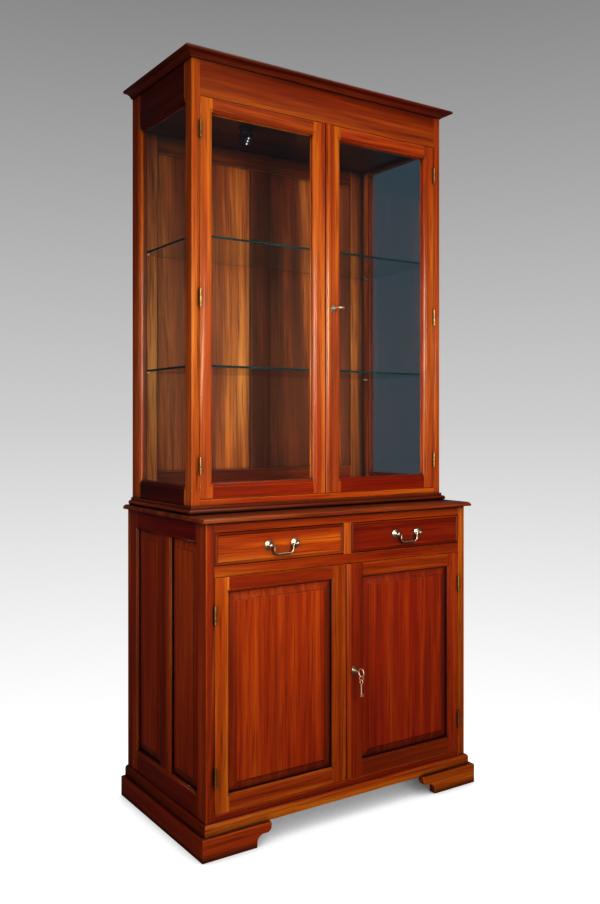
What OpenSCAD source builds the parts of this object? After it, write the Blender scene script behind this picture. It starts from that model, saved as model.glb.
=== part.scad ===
// Two-stage glazed display bookcase in polished mahogany.
// A cupboard base with two drawers and panelled doors carries a glazed upper case.
// Millimetres, +Z up, front towards -Y, origin on the floor at the middle of the footprint.

/* [Base stage] */
// Width of the base carcase
base_w = 900; // [800:10:1100]
// Depth of the base carcase
base_d = 496; // [450:2:560]
// Height of the base carcase
base_h = 768; // [700:2:860]
// Thickness of the base end frames
base_end_t = 25; // [24:1:30]
// Depth of the front corner posts
base_front_post = 57; // [54:1:70]
// Depth of the back corner posts
base_back_post = 68; // [60:1:80]
// Width of each base end's middle upright
base_muntin = 71; // [50:1:90]
// Height of the top rail of each base end
base_end_top_rail = 58; // [50:1:80]
// Height of the bottom rail of each base end
base_end_bottom_rail = 66; // [50:1:90]
// Height of the rail above the drawers
top_rail_h = 26; // [22:1:40]
// Height of the drawer openings
drawer_h = 87; // [78:1:110]
// Height of the rail under the drawers
drawer_rail_h = 28; // [24:1:40]
// Height of the rail under the cupboard doors
bottom_rail_h = 16; // [16:1:40]
// Depth of the front rails
front_rail_d = 45; // [40:1:50]
// Width of the upright between the drawers
divider_w = 27; // [20:1:40]
// Thickness of the board under the drawers
dust_board_t = 12; // [9:1:16]
// Thickness of the base back panel
base_back_t = 12; // [8:1:14]
// Height of the cupboard shelf above its floor
cupboard_shelf_z = 290; // [200:1:400]
// Thickness of the cupboard shelf
cupboard_shelf_t = 18; // [14:1:24]

/* [Upper stage] */
// Width of the upper carcase
upper_w = 880; // [780:10:900]
// Depth of the upper carcase
upper_d = 386; // [320:2:420]
// Height of the upper carcase
upper_h = 1212; // [1000:2:1400]
// Distance from the base's back to the upper carcase's back
upper_back_gap = 10; // [0:1:20]
// Thickness of the upper end frames
upper_end_t = 24.5; // [24:0.5:30]
// Depth of the upper front posts
upper_front_post = 45; // [43:1:60]
// Depth of the upper back posts
upper_back_post = 57; // [52:1:70]
// Height of the bottom rail of each upper end
upper_end_bottom_rail = 76; // [60:1:100]
// How far the upper ends' top rails reach below the frieze
end_rail_drop = 12; // [8:1:40]
// Height of the frieze above the glazed doors
frieze_h = 96; // [60:1:100]
// Height of the rail under the glazed doors
upper_bottom_rail_h = 39; // [30:1:60]
// Thickness of the upper front rails
upper_rail_t = 24; // [20:1:26]
// Height of the ceiling above the frieze's edge
ceiling_up = 1; // [0:0.5:6]
// Thickness of the upper floor and ceiling boards
upper_board_t = 14; // [12:1:18]
// Thickness of the top board behind the cornice
top_board_t = 12; // [9:1:18]
// Thickness of the framed back
back_frame_t = 16; // [14:1:18]
// Width of the framed back's side uprights
back_stile = 60; // [40:1:90]
// Width of the middle upright of the framed back
back_muntin = 75; // [40:1:110]
// Height of the top rail of the framed back
back_top_rail = 150; // [120:1:180]
// Height of the bottom rail of the framed back
back_bottom_rail = 96; // [60:1:120]
// Thickness of the glass shelves
shelf_t = 6; // [5:0.5:10]
// Height of the lower glass shelf above the floor
shelf_1_z = 356; // [250:1:420]
// Height of the upper glass shelf above the floor
shelf_2_z = 707; // [600:1:800]
// Gap before and behind the glass shelves
shelf_room = 2; // [1:0.5:3]
// Width of the shelf pins
pin_w = 6; // [5:0.5:7]
// Thickness of the shelf pins
pin_t = 3; // [2:0.5:4]
// Length of the shelf pins
pin_out = 14; // [8:1:20]
// Diameter of the pins' pegs
pin_peg_d = 4; // [3:0.5:5]
// Length of the pins' pegs
pin_peg_l = 10; // [6:1:12]

/* [Mouldings and plinth] */
// Height of the bracket feet
foot_h = 57; // [50:1:80]
// How far the feet stand out
foot_out = 22; // [16:1:30]
// Thickness of the feet and skirts
foot_t = 24; // [18:1:30]
// Length of a bracket foot at the floor
foot_len = 162; // [120:1:220]
// Extra length of a bracket foot at its top
foot_tip = 44; // [36:1:60]
// Radius of the eased upper edge of the feet
foot_ease = 3; // [1:0.5:6]
// Height of the straight toe of a bracket foot
foot_toe = 12; // [6:1:16]
// Radius of the hollow above the toe
foot_cove_r = 20; // [14:1:24]
// Radius of the rounded tip of the bracket
foot_lobe_r = 14; // [8:1:18]
// Height of the plinth moulding
plinth_h = 29; // [22:1:40]
// How far the plinth moulding stands out
plinth_out = 9; // [6:1:14]
// How far the plinth moulding reaches inwards
plinth_in = 60; // [40:1:80]
// Width of the blocks in the plinth corners
block_w = 45; // [30:1:55]
// Thickness of the base top board
base_top_t = 12; // [10:1:20]
// How far the base top overhangs
base_top_out = 16; // [11:1:24]
// Radius of the rounded edge of the base top
base_top_r = 10; // [4:1:10]
// Height of the waist moulding
waist_h = 22; // [18:1:30]
// How far the waist moulding stands out
waist_out = 13; // [10:1:18]
// Radius of the waist bead
waist_bead_r = 7; // [4:0.5:8]
// Width of the fillet above the waist bead
waist_fillet = 4.5; // [2:0.5:8]
// Height of the cornice
cornice_h = 22; // [18:1:60]
// How far the cornice overhangs
cornice_out = 30; // [20:1:50]
// Height of the round nose of the cornice
cornice_lip = 10; // [5:1:12]
// Depth of the hollow under the cornice
cornice_sag = 3.5; // [1:0.5:4]
// Width of the step below the hollow
cornice_root = 4; // [2:0.5:8]
// Width of the step above the hollow
cornice_step = 7; // [6.5:0.5:9]

/* [Doors and panels] */
// Thickness of all door frames
door_t = 22; // [22:1:26]
// Place of the meeting line of each pair of doors
meet_x = -5; // [-20:1:0]
// Width of the bead on the right-hand doors
bead_w = 18; // [12:1:20]
// How far that bead stands proud
bead_out = 5; // [3:0.5:6]
// Width of the hinge stiles of the base doors
base_hinge_stile = 41; // [36:1:60]
// Width of the left base door's meeting stile
base_meet_stile = 47; // [40:1:60]
// Wood behind the lock case in the right base door
base_case_wood = 7.5; // [3:0.5:20]
// Height of the top rails of the base doors
base_door_top_rail = 40; // [36:1:60]
// Height of the bottom rails of the base doors
base_door_bottom_rail = 46; // [36:1:70]
// Width of the hinge stiles of the glazed doors
upper_hinge_stile = 38; // [36:1:60]
// Width of the left glazed door's meeting stile
upper_meet_stile = 41; // [38:1:60]
// Wood behind the lock case in the right glazed door
upper_case_wood = 2.5; // [2:0.5:20]
// Height of the top rails of the glazed doors
upper_door_top_rail = 39; // [36:1:60]
// Height of the bottom rails of the glazed doors
upper_door_bottom_rail = 42; // [36:1:70]
// Radius of the moulded edge of the panelled frames
panel_ovolo = 4; // [2:0.5:6]
// Radius of the moulded edge of the glazed frames
glass_ovolo = 8; // [4:0.5:8]
// Depth of the step beside the moulded edges
ovolo_step = 1.5; // [0.5:0.5:2]
// Depth from the face to the panel groove or glass
groove_at = 10; // [10:0.5:11]
// Width of the panel groove, and thickness of the panel edge
groove_w = 6; // [4:0.5:7]
// Depth of the panel grooves and of the glass rebates
groove_d = 8; // [6:0.5:9]
// Width of the bevel round each raised panel
bevel_w = 25; // [15:1:35]
// Rise of the bevel
bevel_rise = 3.5; // [2:0.5:4]
// Step from the bevel to the raised field
field_step = 2; // [1:0.5:3]
// Thickness of the panes
pane_t = 4; // [3:0.5:5]

/* [Drawers] */
// Thickness of the drawer fronts
drawer_front_t = 20; // [18:1:26]
// Thickness of the drawer sides
drawer_side_t = 12; // [10:1:14]
// Space above the drawer sides
drawer_head_room = 15; // [12:1:30]
// Thickness of the drawer backs
drawer_back_t = 10; // [8:1:12]
// Thickness of the drawer bottoms
drawer_bottom_t = 6; // [4:1:8]
// Height of the drawer bottom above the lower edge of the sides
drawer_bottom_up = 8; // [6:1:12]
// Space behind the drawers
drawer_back_room = 44; // [20:1:120]
// Width of the bead round each drawer front
cock_bead_w = 8; // [5:0.5:10]
// How far that bead stands proud
cock_bead_out = 2; // [1:0.5:4]
// Depth of the bead in the drawer front
cock_bead_in = 6; // [4:0.5:8]
// How far the drawer fronts lie behind the frame
field_back = 1; // [0:0.5:3]

/* [Handles] */
// Distance between a handle's posts
handle_cc = 84; // [64:1:110]
// Diameter of the handles' round plates
rose_d = 26; // [22:0.5:30]
// Height of the domed round plates
rose_t = 5; // [4:0.5:6]
// Thickness of their rims
rose_rim = 1.2; // [0.8:0.2:2]
// Distance of the bail's pivot from the drawer front
bail_off = 12; // [12:0.5:18]
// Diameter of the handle posts' balls
ball_d = 12.4; // [11:0.2:14]
// Diameter of the handle posts' stems
stem_d = 8; // [6:0.5:9]
// Diameter of the bail's pivot ends
bail_pin_d = 4; // [3:0.2:4.4]
// Diameter of the bail wire
bail_d = 4.8; // [4.4:0.2:5.6]
// Drop of the bail below its pivot
bail_drop = 24; // [22:1:34]
// Gap between the ball of a post and the bail's bend
bail_gap = 0.8; // [0.5:0.1:3]
// Radius of the bend at the pivot
bail_top_r = 5; // [4:0.5:6]
// Radius of the bends at the grip
bail_low_r = 12; // [8:0.5:14]
// Diameter of the handle bolts
bolt_d = 5; // [4:0.5:5]
// Length of the bolt inside the drawer front
bolt_tail = 6; // [5:0.5:8]
// Width of the nuts across corners
nut_d = 10; // [8:0.5:12]
// Thickness of the nuts
nut_t = 4; // [3:0.5:5]

/* [Hinges] */
// Length of each hinge
hinge_l = 48; // [40:1:60]
// Diameter of the hinge knuckles
knuckle_d = 6.4; // [5.6:0.2:6.6]
// Diameter of the hinge pins
hinge_pin_d = 2.6; // [2:0.2:3]
// Thickness of the hinge leaves
leaf_t = 1.5; // [1.2:0.1:1.8]
// Width of the hinge leaves
leaf_w = 18; // [14:0.5:20]
// Gap between the hinge knuckles and the doors
knuckle_room = 0.4; // [0.3:0.1:1]
// Distance of the base hinges from the doors' ends
base_hinge_in = 95; // [70:1:140]
// Distance of the glazed-door hinges from the doors' ends
upper_hinge_in = 88; // [60:1:140]

/* [Locks and keys] */
// Height of the base keyhole in its door
base_key_up = 305; // [200:1:400]
// Height of the upper keyhole in its door
upper_key_up = 537; // [400:1:700]
// Distance from the door face to the end of a key
key_reach = 48; // [42:1:60]
// Outer diameter of the bow
bow_d = 26; // [20:0.5:28]
// Diameter of the bow's wire
bow_wire = 3.6; // [2.4:0.2:4]
// Diameter of the key's shank
shank_d = 5; // [4:0.2:5.6]
// Reach of the key's bit from its axis
bit_reach = 8; // [7:0.5:8]
// Thickness of the bit
bit_t = 2.5; // [1.5:0.1:2.6]
// Length of the collar on a key's shank
collar_l = 3; // [2:0.5:5]
// How far the collar stands out
collar_out = 1.5; // [1:0.5:3]
// Travel of the lock bolts
bolt_throw = 8; // [6:0.5:8]
// Thickness of the lock bolts
bolt_t = 4; // [3:0.5:5]
// Height of the lock bolts
bolt_h = 10.5; // [9:0.5:12]
// Thickness of the walls of the lock cases
case_wall = 1.5; // [1:0.1:2]
// Thickness of the lock cases
case_t = 12; // [11.5:0.5:13]
// Height of a lock case below the keyhole
case_below = 30; // [24:1:40]
// Height of a lock case above the keyhole
case_above = 22; // [14:1:30]
// Length of a lock case beyond the keyhole
case_tail = 17.5; // [17.5:0.5:19]
// Height of the keyhole plates
plate_h = 24; // [22:1:36]
// Width of the keyhole plates
plate_w = 15; // [13:0.5:15]
// Thickness of the keyhole plates
plate_t = 1.5; // [1:0.1:2]
// Inner diameter of the spare key's ring
ring_id = 11; // [10:0.5:18]
// Diameter of that ring's wire
ring_wire = 1.8; // [1.2:0.1:2.4]
// Outer diameter of the spare key's bow
spare_bow_d = 15; // [14:0.2:20]
// Diameter of that bow's wire
spare_wire = 2.6; // [2:0.2:3.2]
// Diameter of the spare key's shank
spare_shank_d = 4; // [3:0.2:4.6]
// Length of the spare key's shank
spare_len = 36; // [28:1:50]
// Length of that shank below its bit
spare_tip = 2; // [1:0.5:6]

/* [Spotlight] */
// Distance of the spotlight to the left of the middle
spot_left = 164; // [60:1:300]
// Distance of the spotlight from the front
spot_in = 186; // [90:1:250]
// Diameter of the spotlight's ceiling plate
spot_plate_d = 44; // [40:1:60]
// Thickness of the ceiling plate
spot_plate_t = 8; // [5:1:12]
// Diameter of the lamp head
spot_head_d = 28; // [26:1:32]
// Height of the lamp head
spot_head_h = 20; // [18:1:26]
// Forward tilt of the lamp head
spot_tilt = 50; // [0:1:60]
// Drop from the ceiling plate to the tilt axis
spot_drop = 20; // [20:0.5:30]
// Diameter of the tilt pins
spot_pin_d = 4; // [3:0.2:5]
// Thickness of the lamp's ears
ear_t = 3; // [2:0.5:4]
// Width of the ears
ear_w = 9; // [7:0.5:12]
// Gap between the ears and the lamp head
ear_gap = 0.5; // [0.3:0.1:1]
// Diameter of the lenses
lens_d = 7.6; // [6:0.2:8]
// Distance between lenses
lens_step = 8.8; // [8:0.2:9]
// Depth of the lens seats
lens_seat = 2; // [1:0.2:4]
// How far the lenses stand out
lens_proud = 0.8; // [0.4:0.1:2]

/* [Clearances] */
// Gap between doors and frame
door_gap = 1.5; // [1.2:0.1:2]
// Gap between the two doors of a pair
meet_gap = 2; // [1.8:0.1:3]
// Gap round the drawer fronts
drawer_gap = 1.2; // [0.8:0.1:2]
// Gap between drawers and dust board
drawer_lift = 0.3; // [0.2:0.05:0.5]
// Gap between the closed hinge leaves
leaf_gap = 0.3; // [0.2:0.05:0.5]
// Clearance round turning pins and shanks
turn_fit = 0.05; // [0.02:0.01:0.09]
// End clearance of the hinge knuckles
knuckle_gap = 0.3; // [0.2:0.05:0.5]
// Clearance round the lock bolts
bolt_fit = 0.1; // [0.05:0.05:0.2]
// Room round the keys in wood and plates
key_room = 0.7; // [0.5:0.1:1]
// Room inside the locks and in front of their plates
case_room = 1; // [0.5:0.1:1.2]
// Room between the bit and the bolt's notch
notch_room = 1.85; // [1.7:0.05:2]
// Clearance round panels, panes and shelves
edge_fit = 1; // [0.5:0.1:1.5]
// Gap between meeting bead and keyhole plate
plate_gap = 0.5; // [0.3:0.1:2]
// Hanging clearance of rings
ring_fit = 0.3; // [0.2:0.05:0.5]

/* [Wood joints] */
// Length of the tenons of the frames
tenon_l = 20; // [14:1:22]
// Thickness of the tenons of the frames
tenon_t = 7; // [6:0.5:8]
// Distance of the tenons from the rails' edges
tenon_in = 10; // [9.5:0.5:11]
// Length of the tenons of the front rails
front_tenon_l = 16; // [10:1:18]
// Width of the boards' tongues
tongue_l = 6; // [4:0.5:8]
// Thickness of those tongues
tongue_t = 6; // [4:0.5:8]
// Length of the divider's stub tenons
stub_l = 8; // [5:0.5:9]
// Rebate of the back posts
back_rebate = 10; // [6:1:12]
// Width of the glue lines in the frames
glue_line = 0.05; // [0.02:0.01:0.1]

/* [Hidden] */
$fn = 64;

// Heights, from the floor up
base_z = foot_h + plinth_h;
door_z = base_z + bottom_rail_h;
drawer_rail_z = base_z + base_h - top_rail_h - drawer_h - drawer_rail_h;
drawer_z = drawer_rail_z + drawer_rail_h;
top_rail_z = drawer_z + drawer_h;
base_top_z = base_z + base_h;
upper_z = base_top_z + base_top_t;
glazed_z = upper_z + upper_bottom_rail_h;
frieze_z = upper_z + upper_h - frieze_h;
cornice_z = upper_z + upper_h;
total_h = cornice_z + cornice_h;

// Depths, front to back, with the footprint centred
front_reach = max(key_reach, foot_out);
base_front = (front_reach - base_d) / 2;
base_back = base_front + base_d;
upper_back = base_back - upper_back_gap;
upper_front = upper_back - upper_d;

// Half widths of the openings between the posts
base_in = base_w / 2 - base_end_t;
upper_in = upper_w / 2 - upper_end_t;

// Panel openings of the base ends, as distances along the depth
end_bay = (base_d - base_front_post - base_back_post - base_muntin) / 2;
end_bay_1 = base_front + base_front_post;
end_bay_2 = end_bay_1 + end_bay + base_muntin;
end_panel_z = [base_z + base_end_bottom_rail, base_top_z - base_end_top_rail];
end_rails_z = [[base_z, end_panel_z[0]], [end_panel_z[1], base_top_z]];
front_rails_z = [[base_z, door_z], [drawer_rail_z, drawer_z], [top_rail_z, base_top_z]];

// Glass opening of the upper ends
side_light_y = [upper_front + upper_front_post, upper_back - upper_back_post];
side_light_z = [upper_z + upper_end_bottom_rail, frieze_z - end_rail_drop];
side_rails_z = [[upper_z, side_light_z[0]], [side_light_z[1], cornice_z]];

// Doors: [left edge, right edge, bottom, top]
base_door_z = [door_z + door_gap, drawer_rail_z - door_gap];
upper_door_z = [glazed_z + door_gap, frieze_z - door_gap];
left_meet = meet_x - meet_gap / 2;
right_meet = meet_x + meet_gap / 2;
base_left = [-base_in + door_gap, left_meet, base_door_z[0], base_door_z[1]];
base_right = [right_meet, base_in - door_gap, base_door_z[0], base_door_z[1]];
upper_left = [-upper_in + door_gap, left_meet, upper_door_z[0], upper_door_z[1]];
upper_right = [right_meet, upper_in - door_gap, upper_door_z[0], upper_door_z[1]];

// Lock stiles reach from the meeting edge past the lock case
key_x = right_meet + bead_w + plate_gap + plate_w / 2;
case_edge = key_x + case_tail - right_meet + groove_d;
base_lock_stile = case_edge + base_case_wood;
upper_lock_stile = case_edge + upper_case_wood;

// Openings in the doors: [left, right, bottom, top]
function base_light(d, left, right) =
    [d[0] + left, d[1] - right, d[2] + base_door_bottom_rail, d[3] - base_door_top_rail];
function upper_light(d, left, right) =
    [d[0] + left, d[1] - right, d[2] + upper_door_bottom_rail, d[3] - upper_door_top_rail];
base_left_light = base_light(base_left, base_hinge_stile, base_meet_stile);
base_right_light = base_light(base_right, base_lock_stile, base_hinge_stile);
upper_left_light = upper_light(upper_left, upper_hinge_stile, upper_meet_stile);
upper_right_light = upper_light(upper_right, upper_lock_stile, upper_hinge_stile);

// Glass shelves and their pins
shelf_z = [glazed_z + shelf_1_z, glazed_z + shelf_2_z];
shelf_front = upper_front + door_t + shelf_room;
shelf_back = upper_back - back_frame_t - shelf_room;
pin_front_y = shelf_front + pin_w / 2;
pin_back_y = side_light_y[1] + groove_d + pin_w;
cupboard_pin_y = [end_bay_1 - groove_d - pin_w, end_bay_2 + end_bay + groove_d + pin_w];
cupboard_shelf_under = door_z + cupboard_shelf_z;

// Hinges
knuckle_l = hinge_l / 3;
hinge_out = knuckle_d / 2 + knuckle_room;
base_hinge_x = base_in - door_gap / 2;
upper_hinge_x = upper_in - door_gap / 2;
base_hinge_zs = [base_door_z[0] + base_hinge_in, base_door_z[1] - base_hinge_in];
upper_hinge_zs = [upper_door_z[0] + upper_hinge_in, (upper_door_z[0] + upper_door_z[1]) / 2,
    upper_door_z[1] - upper_hinge_in];

// Locks
base_key_z = base_door_z[0] + base_key_up;
upper_key_z = upper_door_z[0] + upper_key_up;
case_y = door_t - case_t;
bolt_y = case_y + case_t / 2 - bolt_t / 2;
bolt_top = -shank_d / 2 - case_room;
notch_half = bit_t / 2 + notch_room;
notch_floor = -bit_reach - case_wall;
bow_r = (bow_d - bow_wire) / 2;
bow_y = -key_reach + bow_d / 2;
key_end = door_t - case_wall - case_room;

// Drawers and handles
drawer_in = [divider_w / 2, base_in];
drawer_x = (drawer_in[0] + drawer_in[1]) / 2;
drawer_w = drawer_in[1] - drawer_in[0] - 2 * drawer_gap;
drawer_front_h = drawer_h - 2 * drawer_gap;
drawer_mid_z = drawer_z + drawer_h / 2;
drawer_face = base_front + field_back;
drawer_low = drawer_z + drawer_lift;
drawer_side_h = drawer_h - drawer_head_room;
drawer_end = base_back - base_back_t - drawer_back_room;
drawer_lap = drawer_front_t / 2;
bail_y = drawer_face - bail_off;

// Spotlight
ceiling_z = frieze_z + ceiling_up;
spot_y = upper_front + spot_in;
spot_axis_z = ceiling_z - spot_plate_t - spot_drop;

// Colours
mahogany = "#8a3a12";
panel_wood = "#7a2a10";
dark_mahogany = "#5a1e10";
pale_wood = "#b98a55";
clear_glass = [0.75, 0.85, 0.85, 0.35];
old_brass = "#b8a070";
steel = "#8a8a88";
black = "#1c1c1c";

// Children and their mirror image across the middle
module pair() {
    children();
    mirror([1, 0, 0]) children();
}

// Puts a frame drawn with its face at y = 0 on the left side: x runs forwards, y inwards
module on_left_end(half_w) {
    translate([-half_w, 0, 0]) rotate([0, 0, -90]) children();
}

// Box between two corners
module block(low, high) {
    translate(low) cube(high - low);
}

// Cross-section of a moulded opening between a and b in a frame of thickness t
module opening_section(a, b, t, ovolo, glazed) {
    translate([a, -1]) square([b - a, t + 2]);
    for (side = [0, 1]) {
        translate([side == 0 ? a : b, 0]) mirror([side == 0 ? 1 : 0, 0]) {
            translate([0, -1]) square([ovolo + ovolo_step, ovolo_step + 1]);
            difference() {
                square([ovolo, ovolo_step + ovolo]);
                translate([ovolo, ovolo_step + ovolo]) circle(r = ovolo);
            }
            translate([-1, groove_at]) square([groove_d + 1, glazed ? t + 1 - groove_at : groove_w]);
        }
    }
}

// Cuts a moulded opening, [left, right, bottom, top], through a frame of thickness t
module framed_opening(o, t, ovolo, glazed) {
    margin = 2 * groove_d + 2 * ovolo;
    intersection() {
        translate([0, 0, o[2] - margin]) linear_extrude(o[3] - o[2] + 2 * margin)
            opening_section(o[0], o[1], t, ovolo, glazed);
        translate([o[1] + margin, 0, 0]) rotate([0, -90, 0]) linear_extrude(o[1] - o[0] + 2 * margin)
            opening_section(o[2], o[3], t, ovolo, glazed);
    }
}

// Cross-section of a raised panel that fills an opening from a to b
module panel_section(a, b) {
    tongue = groove_d - edge_fit;
    bevel_top = groove_at - bevel_rise;
    field = bevel_top - field_step;
    polygon([
        [a - tongue, groove_at], [a, groove_at], [a + bevel_w, bevel_top], [a + bevel_w, field],
        [b - bevel_w, field], [b - bevel_w, bevel_top], [b, groove_at], [b + tongue, groove_at],
        [b + tongue, groove_at + groove_w], [a - tongue, groove_at + groove_w]
    ]);
}

// Raised and fielded panel for an opening [left, right, bottom, top]
module raised_panel(o) {
    intersection() {
        translate([0, 0, o[2] - groove_d]) linear_extrude(o[3] - o[2] + 2 * groove_d)
            panel_section(o[0], o[1]);
        translate([o[1] + groove_d, 0, 0]) rotate([0, -90, 0]) linear_extrude(o[1] - o[0] + 2 * groove_d)
            panel_section(o[2], o[3]);
    }
}

// Pane of glass in the rebate of an opening
module pane(o) {
    edge = groove_d - edge_fit;
    block([o[0] - edge, groove_at, o[2] - edge], [o[1] + edge, groove_at + pane_t, o[3] + edge]);
}

// Four beads that hold a pane in its rebate from behind
module pane_beads(o, t) {
    front = groove_at + pane_t;
    for (x = [o[0] - groove_d, o[1]]) {
        block([x, front, o[2] - groove_d], [x + groove_d, t, o[3] + groove_d]);
    }
    for (z = [o[2] - groove_d, o[3]]) {
        block([o[0] + glue_line, front, z], [o[1] - glue_line, t, z + groove_d]);
    }
}

// Both tenons of a rail from x = a to x = b, as one bar, larger by fit as a mortise
module rail_tenons(a, b, z0, z1, t, fit) {
    block([a - tenon_l - fit, (t - tenon_t) / 2 - fit, z0 + tenon_in - fit],
        [b + tenon_l + fit, (t + tenon_t) / 2 + fit, z1 - tenon_in + fit]);
}

// Tenons of a front rail into the left-hand post, and their mirror image
module front_tenons(half_w, front, rail_d, z0, z1) {
    tenon_h = (z1 - z0) * 2 / 3;
    mid_z = (z0 + z1) / 2;
    pair() block([-half_w - front_tenon_l, front + rail_d / 2 - tenon_t / 2, mid_z - tenon_h / 2],
        [-half_w, front + rail_d / 2 + tenon_t / 2, mid_z + tenon_h / 2]);
}

// Tongues along the ends of a board with its underside at z and thickness t
module board_tongues(half_w, y0, y1, z, t) {
    pair() block([-half_w - tongue_l, y0, z + t / 2 - tongue_t / 2], [-half_w, y1, z + t / 2 + tongue_t / 2]);
}

// Three mitred lengths of a moulding round the front and sides of a carcase.
// The child is the section: x is the distance outwards from the carcase, y the height.
module surround(w, front, back, out, inset) {
    corner_in = [w / 2 - inset, front + inset];
    corner_out = [w / 2 + out, front - out];
    mitre = [0, glue_line];
    intersection() {
        translate([-w / 2 - out, front, 0]) rotate([90, 0, 90]) linear_extrude(w + 2 * out)
            mirror([1, 0]) children();
        linear_extrude(total_h) polygon([
            [-corner_in[0], corner_in[1]], corner_in, corner_out, [-corner_out[0], corner_out[1]]
        ]);
    }
    pair() intersection() {
        translate([w / 2, back, 0]) rotate([90, 0, 0]) linear_extrude(back - front + out) children();
        linear_extrude(total_h) polygon([
            corner_in + mitre, corner_out + mitre, [corner_out[0], back], [corner_in[0], back]
        ]);
    }
}

// Four mitred strips round a w by h rectangle centred on the origin.
// The child is the section: x is the distance inwards from the edge, y the depth.
module mitred_strips(w, h, strip_w) {
    depth = 2 * base_d;
    for (turn = [0, 1]) mirror([turn, 0, 0]) intersection() {
        translate([-w / 2, 0, -h / 2]) linear_extrude(h) children();
        rotate([90, 0, 0]) linear_extrude(depth, center = true) polygon([
            [-w / 2, glue_line - h / 2], [-w / 2 + strip_w, glue_line - h / 2 + strip_w],
            [-w / 2 + strip_w, h / 2 - strip_w - glue_line], [-w / 2, h / 2 - glue_line]
        ]);
    }
    for (turn = [0, 1]) mirror([0, 0, turn]) intersection() {
        translate([w / 2, 0, -h / 2]) rotate([0, -90, 0]) linear_extrude(w) children();
        rotate([90, 0, 0]) linear_extrude(depth, center = true) polygon([
            [-w / 2, -h / 2], [-w / 2 + strip_w, -h / 2 + strip_w],
            [w / 2 - strip_w, -h / 2 + strip_w], [w / 2, -h / 2]
        ]);
    }
}

// Section of the feet, with the upper outside edge eased
module foot_section() {
    difference() {
        translate([foot_out - foot_t, 0]) square([foot_t, foot_h]);
        translate([foot_out - foot_ease, foot_h - foot_ease]) difference() {
            square(foot_ease + 1);
            circle(r = foot_ease);
        }
    }
}

// Shape of the space between the two front feet, drawn for the right-hand half
module foot_gap_section() {
    toe_x = base_w / 2 + foot_out - foot_len;
    tip_x = toe_x - foot_tip;
    under_z = foot_toe + foot_cove_r;
    difference() {
        translate([0, -1]) square([toe_x, under_z + 1]);
        difference() {
            translate([toe_x - foot_cove_r, foot_toe]) square(foot_cove_r);
            translate([toe_x - foot_cove_r, foot_toe]) circle(r = foot_cove_r);
        }
    }
    translate([0, under_z - 1]) square([tip_x, foot_h - under_z + 2]);
    difference() {
        translate([tip_x - 1, under_z - 1]) square([foot_lobe_r + 1, foot_lobe_r + 1]);
        translate([tip_x + foot_lobe_r, under_z + foot_lobe_r]) circle(r = foot_lobe_r);
    }
}

// Bracket feet at the front and skirts along the sides, mitred at the corners
module bracket_feet() {
    color(mahogany) difference() {
        surround(base_w, base_front, base_back, foot_out, foot_t - foot_out) foot_section();
        pair() translate([0, base_front + foot_t, 0]) rotate([90, 0, 0]) linear_extrude(foot_t + foot_out + 1)
            foot_gap_section();
    }
}

// Blocks glued inside the four corners of the plinth
module plinth_blocks() {
    side = base_w / 2 + foot_out - foot_t;
    front = base_front - foot_out + foot_t;
    color(dark_mahogany) pair() for (y = [front, base_back - block_w]) {
        block([side - block_w, y, 0], [side, y + block_w, foot_h]);
    }
}

// Section of the plinth moulding, with a rounded top edge
module plinth_section() {
    translate([-plinth_in, foot_h]) square([plinth_in, plinth_h]);
    translate([0, foot_h]) square([plinth_out, plinth_h - plinth_out]);
    translate([0, base_z - plinth_out]) intersection() {
        circle(r = plinth_out);
        square(plinth_out);
    }
}

// Moulded plinth frame under the base carcase, with a plain bar at the back
module plinth_moulding() {
    side = base_w / 2 - plinth_in - glue_line;
    color(mahogany) surround(base_w, base_front, base_back, plinth_out, plinth_in) plinth_section();
    color(mahogany) block([-side, base_back - plinth_in, foot_h], [side, base_back, base_z]);
}

// Panel openings of a base end, [left, right, bottom, top] as drawn for on_left_end
function end_lights() = [
    for (y = [end_bay_1, end_bay_2]) [-y - end_bay, -y, end_panel_z[0], end_panel_z[1]]
];

// Uncut base end frame
module base_end_blank() {
    difference() {
        block([-base_back, 0, base_z], [-base_front, base_end_t, base_top_z]);
        for (o = end_lights()) framed_opening(o, base_end_t, panel_ovolo, false);
    }
}

// Tenons that join the rails of a base end to its posts
module base_end_tenons() {
    for (z = end_rails_z) {
        rail_tenons(-end_bay_2 - end_bay, -end_bay_1, z[0], z[1], base_end_t, 0);
    }
}

// Tenons of the muntin of a base end into the rails above and below, as one bar
module muntin_tenons(fit) {
    half_t = tenon_t / 2 + fit;
    reach = tenon_l + fit;
    block([-end_bay_2 + tenon_in - fit, base_end_t / 2 - half_t, end_panel_z[0] - reach],
        [-end_bay_1 - end_bay - tenon_in + fit, base_end_t / 2 + half_t, end_panel_z[1] + reach]);
}

// Tenons of all the front rails of the base
module base_front_tenons() {
    for (z = front_rails_z) {
        front_tenons(base_in, base_front, front_rail_d, z[0], z[1]);
    }
}

// Cupboard floor tongues, housed in the bottom rails of the ends
module base_floor_tongues() {
    board_tongues(base_in, end_bay_1, end_bay_2 + end_bay, base_z, bottom_rail_h);
}

// Recesses in the frame for hinge leaves on both sides
module frame_leaf_cuts(half_w, face, zs) {
    pair() for (z = zs) translate([-half_w, face - hinge_out, z]) frame_leaf_plate();
}

// Holes for the pegs of a set of shelf pins
module pin_pegs(half_w, ys, zs) {
    pair() for (y = ys, z = zs) translate([-half_w - pin_peg_l, y, z - pin_t / 2]) rotate([0, 90, 0])
        cylinder(d = pin_peg_d, h = pin_peg_l);
}

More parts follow.
